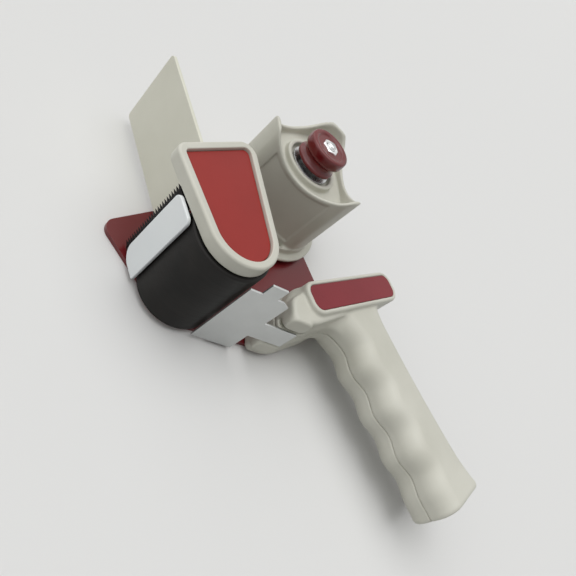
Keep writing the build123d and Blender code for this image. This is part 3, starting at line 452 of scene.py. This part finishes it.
# %% Knob
KNOB_RUNS_MM = [
    (8.7, 54.6), (12.7, 54.6), (13.3, 55.2), (13.3, 56.6), (12.2, 57.4), (11.1, 58.8), (11.1, 60.4),
    (12.4, 61.9), (13.7, 62.8), (13.7, 67.6), (12.9, 69.0), (10.6, 69.0), (9.7, 68.5), (9.2, 68.0),
    (6.5, 68.0), (4.6, 68.0), (4.6, 64.0), (4.6, 61.6), (6.5, 61.6), (8.7, 61.6), (8.7, 58.0)]
KNOB_ROUNDS, KNOB_COLUMNS = 3, 96
knob_radius, knob_height = cut_corners(KNOB_RUNS_MM, KNOB_ROUNDS).T[..., None]
knob_grid = about_hub(knob_radius, full_turn(KNOB_COLUMNS), knob_height) * MM
skin("waisted_knob", knob_grid, KNOB_ABS, "knob", ["tension_knob"],
     close_rows=True)

# %% [markdown]
# ## Nut and threaded stud
# A pressed nut has 30 degree chamfers that turn its hexagon into a circle on the face, and the
# stud's end shows its M6 thread. Both are grids whose radius depends on the angle: the hexagon is
# the flat distance over the cosine of the angle from the nearest flat, and the thread is a
# triangle wave of height minus pitch times turn. Boolean cuts could make both, but a grid has no
# broken faces to clean up.

# %% Nut
NUT_FLAT_MM, NUT_FACE_MM, NUT_LEAD_MM, NUT_BORE_MM = 5.0, 4.75, 3.7, 3.1
NUT_FOOT_MM, NUT_LEAD_END_MM, NUT_TOP_MM = 64.0, 68.5, 69.0
NUT_CHAMFER, NUT_SHARP, NUT_EDGE_MM = math.radians(30.0), math.radians(25.0), 0.12
NUT_COLUMNS = 96
nut_angle = full_turn(NUT_COLUMNS)
even = np.ones_like(nut_angle)
hexagon = NUT_FLAT_MM / np.cos(np.mod(nut_angle, np.pi / 3.0) - np.pi / 6.0)
shoulder = NUT_TOP_MM - (hexagon - NUT_FACE_MM) * math.tan(NUT_CHAMFER)
nut_radius = np.stack([hexagon, hexagon, NUT_FACE_MM * even, NUT_LEAD_MM * even,
                       NUT_BORE_MM * even, NUT_BORE_MM * even])
nut_height = np.stack([NUT_FOOT_MM * even, shoulder, NUT_TOP_MM * even, NUT_TOP_MM * even,
                       NUT_LEAD_END_MM * even, NUT_FOOT_MM * even])
nut = skin("pressed_nut", about_hub(nut_radius, nut_angle, nut_height) * MM, NUT_ZINC, "knob",
           ["knob_nut"], close_rows=True)
nut_edge = nut.modifiers.new("edge", "BEVEL")
nut_edge.limit_method, nut_edge.angle_limit = "ANGLE", NUT_SHARP
nut_edge.width, nut_edge.segments = NUT_EDGE_MM * MM, BEVEL_SEGMENTS
nut.modifiers.new("shade", "WEIGHTED_NORMAL")

# %% Threaded stud
PITCH_MM, THREAD_MM, THREAD_DEPTH_MM, THREAD_LEAD_MM = 1.0, 3.0, 0.5, 0.7
THREAD_FOOT_MM, STUD_END_MM, THREAD_STEP_MM, STUD_COLUMNS = 48.0, 70.5, 0.1, 48
SHANK_MM = np.array([(6.0, 0.2), (6.0, 2.5), (12.0, 2.5), (12.0, 5.0), (5.0, 5.0),
                     (5.0, THREAD_FOOT_MM), (3.0, THREAD_FOOT_MM)])
stud_angle = full_turn(STUD_COLUMNS)
thread_height = np.arange(THREAD_FOOT_MM + THREAD_STEP_MM, STUD_END_MM + THREAD_STEP_MM / 2.0,
                          THREAD_STEP_MM)[:, None]
turns = thread_height / PITCH_MM - stud_angle / (2.0 * np.pi)
crest = THREAD_MM - THREAD_DEPTH_MM * np.abs(2.0 * np.mod(turns, 1.0) - 1.0)
lead_in = THREAD_MM - np.maximum(thread_height - STUD_END_MM + THREAD_LEAD_MM, 0.0)
shank_radius = np.repeat(SHANK_MM[:, :1], STUD_COLUMNS, axis=1)
stud_radius = np.vstack([shank_radius, np.minimum(crest, lead_in)])
stud_height = np.vstack([SHANK_MM[:, 1:], thread_height])
skin("threaded_stud", about_hub(stud_radius, stud_angle, stud_height) * MM, ZINC_PARTS, "frame",
     ["hub_stud"])

# %% [markdown]
# ## Tension spring
# A compression spring has flat closed ends, so its rise per turn is small at both ends and full in
# the middle: height = t - 0.7 sin(2 pi t) / (2 pi). The real spring shortens as the knob is screwed
# down; this mesh keeps its length and rides the body of the spring carrier.

# %% Spring
WIRE_MM, COIL_MM, COIL_TURNS, FLAT_ENDS, FEED_MM = 0.7, 6.0, 4.0, 0.7, 2.0
COIL_POINTS, WIRE_POINTS = 241, 16
spring_foot, spring_top = (float(corner[2]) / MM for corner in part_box("tension_spring"))
spring_tall = spring_top - spring_foot
along = np.linspace(0.0, 1.0, COIL_POINTS)
coil_angle = 2.0 * np.pi * COIL_TURNS * along
rise = along - FLAT_ENDS * np.sin(2.0 * np.pi * along) / (2.0 * np.pi)
coil_height = spring_foot + WIRE_MM + rise * (spring_tall - 2.0 * WIRE_MM)
core = about_hub(COIL_MM, coil_angle, coil_height)
heading = np.gradient(core, axis=0)
heading /= np.linalg.norm(heading, axis=1, keepdims=True)
outward = np.stack([np.cos(coil_angle), np.sin(coil_angle), np.zeros_like(coil_angle)], axis=-1)
sideways = np.cross(heading, outward)
wire_angle = full_turn(WIRE_POINTS)[None, :, None]
wire_ring = np.cos(wire_angle) * outward[:, None] + np.sin(wire_angle) * sideways[:, None]
spring = skin("wound_spring", (core[:, None] + WIRE_MM * wire_ring) * MM, SPRING_WIRE,
              "spring_carrier", ["tension_spring"])
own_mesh(spring)

# %% [markdown]
# ## Saw blade
# The blade is stamped from thin strip and its teeth are ground on the front, so each tooth thins to
# an edge. One tooth could be repeated with an Array modifier, but here a five-sided section is
# carried along the blade's width, its top following a triangle wave of two millimetres a tooth, so
# the blade is one closed mesh.

# %% Blade
LEAN = math.radians(12.0)
FOOT_FROM_AXLE_MM = np.array([-13.0, -21.0, 0.0])
TEETH, BLADE_LOW_MM, BLADE_WIDE_MM = 25, 3.5, 50.0
BLADE_FOOT_MM, ROOT_MM, TOOTH_MM, GROUND_MM = 0.5, 16.2, 2.6, 0.9
FRONT_MM, TOOTH_FRONT_MM, BACK_MM = 2.0, 2.55, 2.8
up_strip = np.array([-math.cos(LEAN), math.sin(LEAN), 0.0])
into_head = np.array([math.sin(LEAN), math.cos(LEAN), 0.0])
across_blade = np.linspace(0.0, TEETH, 2 * TEETH + 1)
saw_top = ROOT_MM + TOOTH_MM * (1.0 - np.abs(2.0 * np.mod(across_blade, 1.0) - 1.0))
level = np.ones_like(saw_top)
rise_mm = np.stack([BLADE_FOOT_MM * level, (ROOT_MM - GROUND_MM) * level, saw_top, saw_top,
                    BLADE_FOOT_MM * level], axis=1)
depth_mm = np.outer(level, [FRONT_MM, FRONT_MM, TOOTH_FRONT_MM, BACK_MM, BACK_MM])
blade_grid = (ROLLER_MM + FOOT_FROM_AXLE_MM + rise_mm[..., None] * up_strip
              + depth_mm[..., None] * into_head) * MM
blade_grid[..., 2] = (BLADE_LOW_MM + BLADE_WIDE_MM * across_blade / TEETH)[:, None] * MM
blade = skin("ground_saw_blade", blade_grid[::-1], BLADE_STEEL, "frame",
             ["blade"])
blade.data.polygons.foreach_set("use_smooth", np.zeros(len(blade.data.polygons), dtype=bool))

# %% [markdown]
# ## Moulded handle
# The handle is two mouldings that meet on a parting line, and every inside corner of it is filleted.
# Such a form is easiest as a distance field: a number for each point of space that is negative
# inside. Boxes and half planes give the parts, a soft minimum joins them with a fillet, and a soft
# maximum cuts them with a rounded edge. The lengths are those of the side view in mm: rear is back
# from the roller's axle, up is toward the flap, and z is the height off the floor.

# %% Distance helpers
def round_box(across, along, half_across, half_along, corner):
    """Rounded rectangle: length of the positive part of |p| - half + corner, less the corner."""
    a, b = np.abs(across) - half_across + corner, np.abs(along) - half_along + corner
    outside = np.hypot(np.maximum(a, 0.0), np.maximum(b, 0.0))
    return outside + np.minimum(np.maximum(a, b), 0.0) - corner


def soft_min(first, second, reach):
    """The smaller distance, less (reach - difference) squared over 4 reach where they are alike."""
    alike = np.maximum(reach - np.abs(first - second), 0.0)
    return np.minimum(first, second) - alike * alike / (4.0 * reach)


def soft_max(first, second, reach):
    """The larger distance, rounded over reach: minus the soft minimum of the two negatives."""
    return -soft_min(-first, -second, reach)


def between(value, low, high):
    """Distance to the slab from low to high: how far from its middle, less half its thickness."""
    return np.abs(value - (low + high) / 2.0) - (high - low) / 2.0


def shared(*distances):
    """Distance to what several forms share: the largest of theirs."""
    return np.maximum.reduce(distances)


print("3 mm off a 10 mm square:", round_box(8.0, 0.0, 5.0, 5.0, 1.0), "mm")

# %% Grip as a distance
MIDDLE_Z_MM = 28.5
GRIP_START_MM, GRIP_LONG_MM, GRIP_END_ROUND_MM = -42.0, 122.5, 3.0
GRIP_FRONT_MM, GRIP_BACK_MM, PALM_HOLLOW_MM = 66.0, 103.5, 2.4
GRIP_HALF_MM, GRIP_CORNER_MM = 15.0, 11.0
NECK_MM, NECK_REACH_MM, FOOT_MM, FOOT_REACH_MM, FOOT_SHARE_END = 7.0, 22.0, 3.0, 24.0, 1.2
WAVE_MM, WAVE_PITCH_MM, FIRST_WAVE_MM = 1.6, 25.0, 24.0


def grip_distance(rear, up, z):
    """Rounded rectangle at each height. Its front follows a cosine for the fingers, its back a sine
    for the palm, and both flare with the square of the nearness to the neck and the foot."""
    run = GRIP_START_MM - up
    neck = NECK_MM * np.maximum(0.0, 1.0 - run / NECK_REACH_MM) ** 2
    foot_share = np.clip(1.0 - (GRIP_LONG_MM - run) / FOOT_REACH_MM, 0.0, FOOT_SHARE_END)
    foot = FOOT_MM * foot_share ** 2
    fade = np.clip(run / WAVE_PITCH_MM, 0.0, 1.0) * (1.0 - np.minimum(foot_share, 1.0))
    wave = WAVE_MM * np.cos(2.0 * np.pi * (run - FIRST_WAVE_MM) / WAVE_PITCH_MM) * fade
    palm = PALM_HOLLOW_MM * np.sin(np.pi * np.clip(run / GRIP_LONG_MM, 0.0, 1.0))
    front = GRIP_FRONT_MM + wave - neck - foot / 2.0
    back = GRIP_BACK_MM - palm + neck + foot
    section = round_box(rear - (front + back) / 2.0, z - MIDDLE_Z_MM, (back - front) / 2.0,
                        GRIP_HALF_MM + foot / 4.0, GRIP_CORNER_MM)
    return soft_max(np.maximum(section, -run), run - GRIP_LONG_MM, GRIP_END_ROUND_MM)


grip_middle = ((GRIP_FRONT_MM + GRIP_BACK_MM) / 2.0, GRIP_START_MM - GRIP_LONG_MM / 2.0, MIDDLE_Z_MM)
print("distance mid grip mm:", round(float(grip_distance(*grip_middle)), 2))

# %% Top and nose as distances
PLATE_TOP_MM, NOSE_NEAR_MM, TOP_NEAR_MM = 2.5, 43.5, 46.5
TOP_MIDDLE_MM, TOP_TILT = (81.5, -39.0), math.radians(5.5)
TOP_HALF_MM, TOP_CORNER_MM, TOP_ROUND_MM = (9.75, 41.5), 7.5, 2.2
NOSE_CORNERS_MM = np.array([(25.22, -40.43), (36.97, -48.05), (70.0, -49.5), (46.0, -29.0),
                            (31.5, -31.0)])
NOSE_CORNER_ROUND_MM, NOSE_ROUND_MM = 3.0, 2.4


def top_frame(rear, up):
    """Across and along the handle's top: the side view turned by its tilt about its middle."""
    from_rear, from_up = rear - TOP_MIDDLE_MM[0], up - TOP_MIDDLE_MM[1]
    return (from_rear * math.sin(TOP_TILT) + from_up * math.cos(TOP_TILT),
            from_rear * math.cos(TOP_TILT) - from_up * math.sin(TOP_TILT))


def top_distance(rear, up, z):
    """The T-shaped top: a rounded rectangle in its own frame, as tall as the handle."""
    outline = round_box(*top_frame(rear, up), *TOP_HALF_MM, TOP_CORNER_MM)
    return soft_max(outline, between(z, PLATE_TOP_MM, TOP_NEAR_MM), TOP_ROUND_MM)


def nose_distance(rear, up, z):
    """Largest of the distances to the five sides of the nose, rounded at each corner."""
    flat = None
    for start, end in zip(NOSE_CORNERS_MM, np.roll(NOSE_CORNERS_MM, -1, axis=0)):
        run_rear, run_up = (end - start) / np.linalg.norm(end - start)
        side = (rear - start[0]) * run_up - (up - start[1]) * run_rear
        flat = side if flat is None else soft_max(flat, side, NOSE_CORNER_ROUND_MM)
    return soft_max(flat, between(z, PLATE_TOP_MM, NOSE_NEAR_MM), NOSE_ROUND_MM)


nose_middle = (*NOSE_CORNERS_MM.mean(axis=0), MIDDLE_Z_MM)
print("distance mid top mm:", round(float(top_distance(*TOP_MIDDLE_MM, MIDDLE_Z_MM)), 2),
      "mid nose mm:", round(float(nose_distance(*nose_middle)), 2))

# %% The whole handle as a distance
FILLET_LEAST_MM, FILLET_GROWTH_MM, FILLET_HALF_MM, FILLET_FADE_MM = 1.4, 9.0, 14.5, 9.0
SHEET_SLOPE, SHEET_START_MM = math.radians(33.0), (-4.0, -23.0)
LUG_CENTRES_MM, LUG_DOWN_MM, LUG_HALF_MM, LUG_CORNER_MM = (11.65, 38.55), 41.0, (7.0, 4.95), 4.0
LUG_LIFT_MM, LUG_ROUND_MM, LUG_JOIN_MM = 4.0, 1.4, 0.8
SLOT_Z_MM, SLOT_HALF_MM, SLOT_DOWN_MM, SLOT_DEEP_MM, SLOT_ROUND_MM = 32.6, 1.2, (26.0, 50.0), 6.0, 0.5
PLATE_SIDE_ROUND_MM = 0.6


def sheet_frame(rear, up):
    """Down the base sheet and lift off it into the handle: the side view turned by the slope."""
    from_rear, from_up = rear - SHEET_START_MM[0], up - SHEET_START_MM[1]
    return (from_rear * math.cos(SHEET_SLOPE) - from_up * math.sin(SHEET_SLOPE),
            from_rear * math.sin(SHEET_SLOPE) + from_up * math.cos(SHEET_SLOPE))


def handle_distance(rear, up, z):
    """Grip, top, nose and two lugs beside the sheet's tongue, joined with fillets that grow toward
    the middle of the handle's thickness, less a slot between the near lug and the tongue."""
    deep = np.clip((FILLET_HALF_MM - np.abs(z - MIDDLE_Z_MM)) / FILLET_FADE_MM, 0.0, 1.0)
    fillet = FILLET_LEAST_MM + FILLET_GROWTH_MM * deep * deep * (3.0 - 2.0 * deep)
    body = soft_min(grip_distance(rear, up, z), nose_distance(rear, up, z), fillet)
    body = soft_min(body, top_distance(rear, up, z), fillet)
    down, lift = sheet_frame(rear, up)
    for centre in LUG_CENTRES_MM:
        lug = round_box(down - LUG_DOWN_MM, z - centre, *LUG_HALF_MM, LUG_CORNER_MM)
        lug = soft_max(lug, between(lift, 0.0, LUG_LIFT_MM), LUG_ROUND_MM)
        body = soft_min(body, lug, LUG_JOIN_MM)
    slot = shared(np.abs(z - SLOT_Z_MM) - SLOT_HALF_MM, between(down, *SLOT_DOWN_MM),
                  lift - SLOT_DEEP_MM)
    return soft_max(soft_max(body, -slot, SLOT_ROUND_MM), PLATE_TOP_MM - z, PLATE_SIDE_ROUND_MM)


print("solid handle, mid grip mm:", round(float(handle_distance(*grip_middle)), 2))

# %% The hollow handle and its halves as distances
GRIP_SCREWS_MM = ((85.0, -84.0), (84.0, -146.0))
TOP_SCREWS_MM = ((56.12, -36.56), (103.9, -41.16))
SHELL_MM, SHELL_ROUND_MM, BOSS_MM, BOSS_ROUND_MM = 2.6, 0.6, 4.2, 1.0
SCREW_HOLE_MM, SCREW_END_MM, WELL_MM, WELL_END_MM = 1.7, 37.5, 3.1, 16.5
PARTING_MM, PARTING_ROUND_MM, RECESS_ROUND_MM = 0.05, 0.8, 0.7
LABEL_HALF_MM, LABEL_CORNER_MM, LABEL_DEEP_MM = (7.35, 39.1), 5.1, 1.4


def shell_distance(rear, up, z):
    """The handle less itself shrunk by the wall, with a boss left round each screw and bored."""
    solid = handle_distance(rear, up, z)
    cavity, hole = solid + SHELL_MM, np.inf
    for screw_rear, screw_up in TOP_SCREWS_MM + GRIP_SCREWS_MM:
        from_screw = np.hypot(rear - screw_rear, up - screw_up)
        cavity = soft_max(cavity, BOSS_MM - from_screw, BOSS_ROUND_MM)
        hole = np.minimum(hole, from_screw - SCREW_HOLE_MM)
    walls = soft_max(solid, -cavity, SHELL_ROUND_MM)
    return np.maximum(walls, -np.maximum(hole, z - SCREW_END_MM))


def near_half_distance(rear, up, z):
    """The handle above the parting line, less the recess of the label plate."""
    half = soft_max(shell_distance(rear, up, z), MIDDLE_Z_MM + PARTING_MM - z, PARTING_ROUND_MM)
    label = round_box(*top_frame(rear, up), *LABEL_HALF_MM, LABEL_CORNER_MM)
    return soft_max(half, -np.maximum(label, TOP_NEAR_MM - LABEL_DEEP_MM - z), RECESS_ROUND_MM)


def far_half_distance(rear, up, z):
    """The handle below the parting line, less the two wells of the grip screws."""
    half = soft_max(shell_distance(rear, up, z), z - MIDDLE_Z_MM + PARTING_MM, PARTING_ROUND_MM)
    for screw_rear, screw_up in GRIP_SCREWS_MM:
        well = np.hypot(rear - screw_rear, up - screw_up) - WELL_MM
        half = soft_max(half, -np.maximum(well, z - WELL_END_MM), RECESS_ROUND_MM)
    return half


print("hollow handle, mid grip mm:", round(float(shell_distance(*grip_middle)), 2))

# %% [markdown]
# ## From a distance field to a mesh
# The field is sampled on a grid. Each cell that the zero level crosses gets one vertex, at the mean
# of the crossings on its edges, and each crossed grid edge gets one quad that joins the four cells
# round it. Two steps down the slope then pull the vertices onto the level, so the faces come out
# smooth. A Remesh modifier could do as much, but it would not know the formula it rounds off.

# %% Surface of a distance field
SIDES = (slice(0, -1), slice(1, None))
PULL_STEPS, SLOPE_REACH_MM, LEAST_SLOPE = 2, 0.02, 0.2


def edge_crossings(grid, value, step):
    """For each cell the sum and count of its edges' crossings, start / (start - end) along each."""
    cells = tuple(n - 1 for n in value.shape)
    total, count, crossed = np.zeros(cells + (3,)), np.zeros(cells), []
    for axis in range(3):
        start, end = np.moveaxis(value, axis, 0)[:-1], np.moveaxis(value, axis, 0)[1:]
        cut = (start < 0.0) != (end < 0.0)
        spot = np.moveaxis(grid, axis, 0)[:-1].copy()
        spot[..., axis] += step * start / np.where(cut, start - end, 1.0)
        spot *= cut[..., None]
        sums, counts = np.moveaxis(total, axis, 0), np.moveaxis(count, axis, 0)
        for b in SIDES:
            for c in SIDES:
                sums += spot[:, b, c]
                counts += cut[:, b, c]
        crossed.append((cut, start < 0.0))
    return total, count, crossed


def quads_round(crossed, number):
    """The four cells round each crossed grid edge, in the order that faces outward."""
    quads = []
    for axis, (cut, from_inside) in enumerate(crossed):
        cell = np.moveaxis(number, axis, 0)
        at, b, c = np.nonzero(cut[:, 1:-1, 1:-1])
        ring = np.stack([cell[at, b, c], cell[at, b + 1, c], cell[at, b + 1, c + 1],
                         cell[at, b, c + 1]], axis=1)
        turn_back = from_inside[:, 1:-1, 1:-1][at, b, c] == (axis == 1)
        quads.append(np.where(turn_back[:, None], ring[:, ::-1], ring))
    return np.vstack(quads)


def pull_to_level(distance, points):
    """Steps to the level: p - f(p) g / |g|^2, with the slope g from central differences."""
    for _ in range(PULL_STEPS):
        level = distance(*points.T)
        nudges = SLOPE_REACH_MM * np.eye(3)
        slope = np.stack([distance(*(points + nudge).T) - distance(*(points - nudge).T)
                          for nudge in nudges], axis=1) / (2.0 * SLOPE_REACH_MM)
        steep = np.maximum((slope ** 2).sum(axis=1), LEAST_SLOPE)
        points = points - (level / steep)[:, None] * slope
    return points


def zero_surface(distance, low, high, step):
    """Points and quads of the zero level of a distance inside the box from low to high."""
    axes = [np.arange(a, b + step, step) for a, b in zip(low, high)]
    grid = np.stack(np.meshgrid(*axes, indexing="ij"), axis=-1)
    value = distance(grid[..., 0], grid[..., 1], grid[..., 2])
    total, count, crossed = edge_crossings(grid, value, step)
    used = count > 0
    number = np.cumsum(used.ravel()).reshape(used.shape) - 1
    points = total[used] / count[used][:, None]
    print("field of", value.shape, "samples gives", len(points), "vertices")
    return pull_to_level(distance, points), quads_round(crossed, number)


def in_frame(points, axis_mm):
    """Side view points in mm to metres in the frame: x = axis - up, y = axis + rear."""
    rear, up, z = points.T
    return np.stack([axis_mm[0] - up, axis_mm[1] + rear, z], axis=1) * MM


# %% Handle halves
FIELD_STEP_MM = 0.85
HANDLE_LOW_MM, HANDLE_HIGH_MM = (20.0, -167.0), (126.0, -22.0)
NEAR_Z_MM, FAR_Z_MM = (26.5, 49.0), (0.5, 30.5)
for half, distance, (low_z, high_z) in (("near", near_half_distance, NEAR_Z_MM),
                                        ("far", far_half_distance, FAR_Z_MM)):
    points, quads = zero_surface(distance, (*HANDLE_LOW_MM, low_z), (*HANDLE_HIGH_MM, high_z),
                                 FIELD_STEP_MM)
    mesh_piece("moulded_handle_" + half, in_frame(points, ROLLER_MM), quads.tolist(), CREAM_ABS,
               "frame", ["handle_" + half])

# %% [markdown]
# ## Moulded tape hub
# The hub is a hollow moulding too, made here the same way. Its outline is a circle cut by three very
# large circles, which gives three narrow wings and three nearly flat sides. A wide cylinder lying
# along each side's middle scoops the near end, so that the wings stand up as points, and a shallow
# panel is sunk in each side.

# %% Sizes of the hub
HUB_LOW_MM, HUB_TOP_MM, WEB_TOP_MM, WEB_MM, WALL_MM = 6.0, 65.0, 48.5, 3.0, 2.4
FLANGE_MM, FLANGE_TOP_MM, SEAT_MM, SEAT_TOP_MM = 42.0, 8.5, 37.5, 13.0
WING_MM, WING_HALF, SIDE_MM = 37.0, math.radians(46.0), 28.0
CHORD_MM = WING_MM * math.sin(WING_HALF)
BULGE_MM = SIDE_MM - WING_MM * math.cos(WING_HALF)
BOW_MM = (CHORD_MM ** 2 + BULGE_MM ** 2) / (2.0 * BULGE_MM)
SCOOP_DEEP_MM, SCOOP_WIDE_MM = 12.5, CHORD_MM + 2.0
SCOOP_MM = (SCOOP_WIDE_MM ** 2 + SCOOP_DEEP_MM ** 2) / (2.0 * SCOOP_DEEP_MM)
SIDE_ANGLES = np.radians([90.0, 210.0, 330.0])
PANEL_HALF_MM, PANEL_FOOT_MM, PANEL_DEEP_MM, PANEL_RIM_MM = CHORD_MM - 5.5, 16.5, 0.6, 3.0
COLLAR_MM, COLLAR_HALF_MM, COLLAR_SINK_MM, COLLAR_TOP_MM = 17.0, 1.4, 1.0, 52.5
HUB_BOSS_MM, HUB_BORE_MM = 11.0, 8.05
WING_ROUND_MM, RIM_ROUND_MM, RING_ROUND_MM, PANEL_ROUND_MM = 2.4, 1.2, 0.9, 0.4
SEAT_JOIN_MM, DRUM_JOIN_MM, COLLAR_JOIN_MM, HOLLOW_ROUND_MM, FAR_ROUND_MM = 1.0, 1.6, 1.2, 0.8, 0.6
print("bow of a side mm:", round(BOW_MM, 1), "scoop mm:", round(SCOOP_MM, 1))


# %% Hub as a distance
def hub_outline(rear, up):
    """Circle of the wings, cut by the large circle of each side."""
    outline = np.hypot(rear, up) - WING_MM
    for angle in SIDE_ANGLES:
        middle = (SIDE_MM - BOW_MM) * np.array([math.cos(angle), math.sin(angle)])
        side = np.hypot(rear - middle[0], up - middle[1]) - BOW_MM
        outline = soft_max(outline, side, WING_ROUND_MM)
    return outline


def drum_distance(rear, up, z, outline):
    """The outline as tall as the hub, scooped and panelled on each side and hollow above its web."""
    drum = np.maximum(outline, between(z, HUB_LOW_MM, HUB_TOP_MM))
    for angle in SIDE_ANGLES:
        outward = rear * math.cos(angle) + up * math.sin(angle)
        aside = up * math.cos(angle) - rear * math.sin(angle)
        scoop = np.hypot(aside, z - (HUB_TOP_MM - SCOOP_DEEP_MM + SCOOP_MM)) - SCOOP_MM
        drum = soft_max(drum, -np.maximum(scoop, -outward), RIM_ROUND_MM)
        panel = shared(np.abs(aside) - PANEL_HALF_MM, PANEL_FOOT_MM - z, PANEL_RIM_MM - scoop,
                       -outward, -outline - PANEL_DEEP_MM)
        drum = soft_max(drum, -panel, PANEL_ROUND_MM)
    return soft_max(drum, -np.maximum(outline + WALL_MM, WEB_TOP_MM - z), RIM_ROUND_MM)


def hub_distance(rear, up, z):
    """Drum, flange, seat ring and collar joined with fillets, hollow below the web, and bored."""
    radius, outline = np.hypot(rear, up), hub_outline(rear, up)
    drum = drum_distance(rear, up, z, outline)
    flange = soft_max(radius - FLANGE_MM, between(z, HUB_LOW_MM, FLANGE_TOP_MM), RIM_ROUND_MM)
    seat = soft_max(np.abs(radius - SEAT_MM + WALL_MM / 2.0) - WALL_MM / 2.0,
                    between(z, HUB_LOW_MM, SEAT_TOP_MM), RING_ROUND_MM)
    collar = soft_max(np.abs(radius - COLLAR_MM) - COLLAR_HALF_MM,
                      between(z, WEB_TOP_MM - COLLAR_SINK_MM, COLLAR_TOP_MM), RING_ROUND_MM)
    body = soft_min(drum, soft_min(flange, seat, SEAT_JOIN_MM), DRUM_JOIN_MM)
    body = soft_min(body, collar, COLLAR_JOIN_MM)
    hollow = shared(outline + WALL_MM, z - WEB_TOP_MM + WEB_MM, HUB_BOSS_MM - radius)
    body = np.maximum(soft_max(body, -hollow, HOLLOW_ROUND_MM), HUB_BORE_MM - radius)
    return soft_max(body, HUB_LOW_MM - z, FAR_ROUND_MM)


web_middle = ((HUB_BOSS_MM + COLLAR_MM) / 2.0, 0.0, WEB_TOP_MM - WEB_MM / 2.0)
print("distance mid web mm:", round(float(hub_distance(*web_middle)), 2))

# %% Hub
HUB_BOX_MM = ((-44.0, -44.0, 3.9), (44.0, 44.0, 67.0))
points, quads = zero_surface(hub_distance, *HUB_BOX_MM, FIELD_STEP_MM)
mesh_piece("moulded_hub", in_frame(points, HUB_AXIS_MM), quads.tolist(), CREAM_ABS, "hub",
           ["hub_drum"])

# %% [markdown]
# ## Floor and light
# A plain pale sweep lies under the gun. It looks pale but gives a darker grey to the light that
# bounces off it, so that it does not wash out the red and black pieces. Two very wide suns stand in
# for softboxes far away: a lamp at a distance lights the whole floor evenly, so no corner of any
# view falls dark. The world adds an even grey, and shows the camera a pale tone like the floor's.

# %% Floor
def seen_rays(tree):
    """1 for the rays that show the background, from the camera or in gloss and glass, else 0."""
    rays = add(tree, "ShaderNodeLightPath")
    seen = rays.outputs["Is Camera Ray"]
    for ray in ("Is Glossy Ray", "Is Transmission Ray"):
        either = add(tree, "ShaderNodeMath", {"operation": "MAXIMUM"})
        tree.links.new(seen, either.inputs[0])
        tree.links.new(rays.outputs[ray], either.inputs[1])
        seen = either.outputs[0]
    return seen


FLOOR_REACH = 45.0
FLOOR_BOUNCED, FLOOR_SEEN = linear("#B4B4B2"), linear("#E3E3E2")
floor_mesh = bpy.data.meshes.new("pale_floor")
floor_corners = np.array([(-1, -1, 0), (1, -1, 0), (1, 1, 0), (-1, 1, 0)]) * FLOOR_REACH
floor_mesh.from_pydata(floor_corners.tolist(), [], [(0, 1, 2, 3)])
floor = bpy.data.objects.new("pale_floor", floor_mesh)
bpy.context.collection.objects.link(floor)
floor_finish, floor_tree, floor_shader, _ = new_finish("matt paper sweep", Roughness=0.9)
floor_tone = add(floor_tree, "ShaderNodeMixRGB", {"Color1": FLOOR_BOUNCED, "Color2": FLOOR_SEEN},
                 Fac=seen_rays(floor_tree))
floor_tree.links.new(floor_tone.outputs["Color"], floor_shader.inputs["Base Color"])
floor_mesh.materials.append(floor_finish)
print("floor reaches", FLOOR_REACH, "m each way")


# %% Lamps
def far_softbox(name, toward, wide_deg, strength):
    """A sun that shines from the direction toward, as wide in the sky as wide_deg."""
    lamp_data = bpy.data.lights.new(name, "SUN")
    lamp_data.angle, lamp_data.energy = math.radians(wide_deg), strength
    lamp = bpy.data.objects.new(name, lamp_data)
    bpy.context.collection.objects.link(lamp)
    z_axis = np.array(toward) / np.linalg.norm(toward)
    x_axis = np.cross((0.0, 1.0, 0.0), z_axis)
    x_axis /= np.linalg.norm(x_axis)
    lamp.matrix_world = turned_to(x_axis, np.cross(z_axis, x_axis), z_axis)


far_softbox("overhead_box", toward=(-0.1, 0.1, 1.0), wide_deg=60.0, strength=1.15)
far_softbox("head_side_panel", toward=(-1.0, -0.6, 0.9), wide_deg=100.0, strength=1.6)

# %% World
FILL_TONE, FILL_STRENGTH, SWEEP_TONE = linear("#E6E6E4"), 0.34, linear("#DFDFDE")
world = bpy.data.worlds.new("grey_studio")
world.use_nodes = True
world_tree = world.node_tree
fill = world_tree.nodes["Background"]
fill.inputs["Color"].default_value, fill.inputs["Strength"].default_value = FILL_TONE, FILL_STRENGTH
sweep = add(world_tree, "ShaderNodeBackground", {"Color": SWEEP_TONE})
choose = add(world_tree, "ShaderNodeMixShader", None, Fac=seen_rays(world_tree))
world_tree.links.new(fill.outputs[0], choose.inputs[1])
world_tree.links.new(sweep.outputs[0], choose.inputs[2])
world_tree.links.new(choose.outputs[0], world_tree.nodes["World Output"].inputs["Surface"])
bpy.context.scene.world = world
bpy.context.scene.view_settings.view_transform = "Standard"
print("world:", world.name)
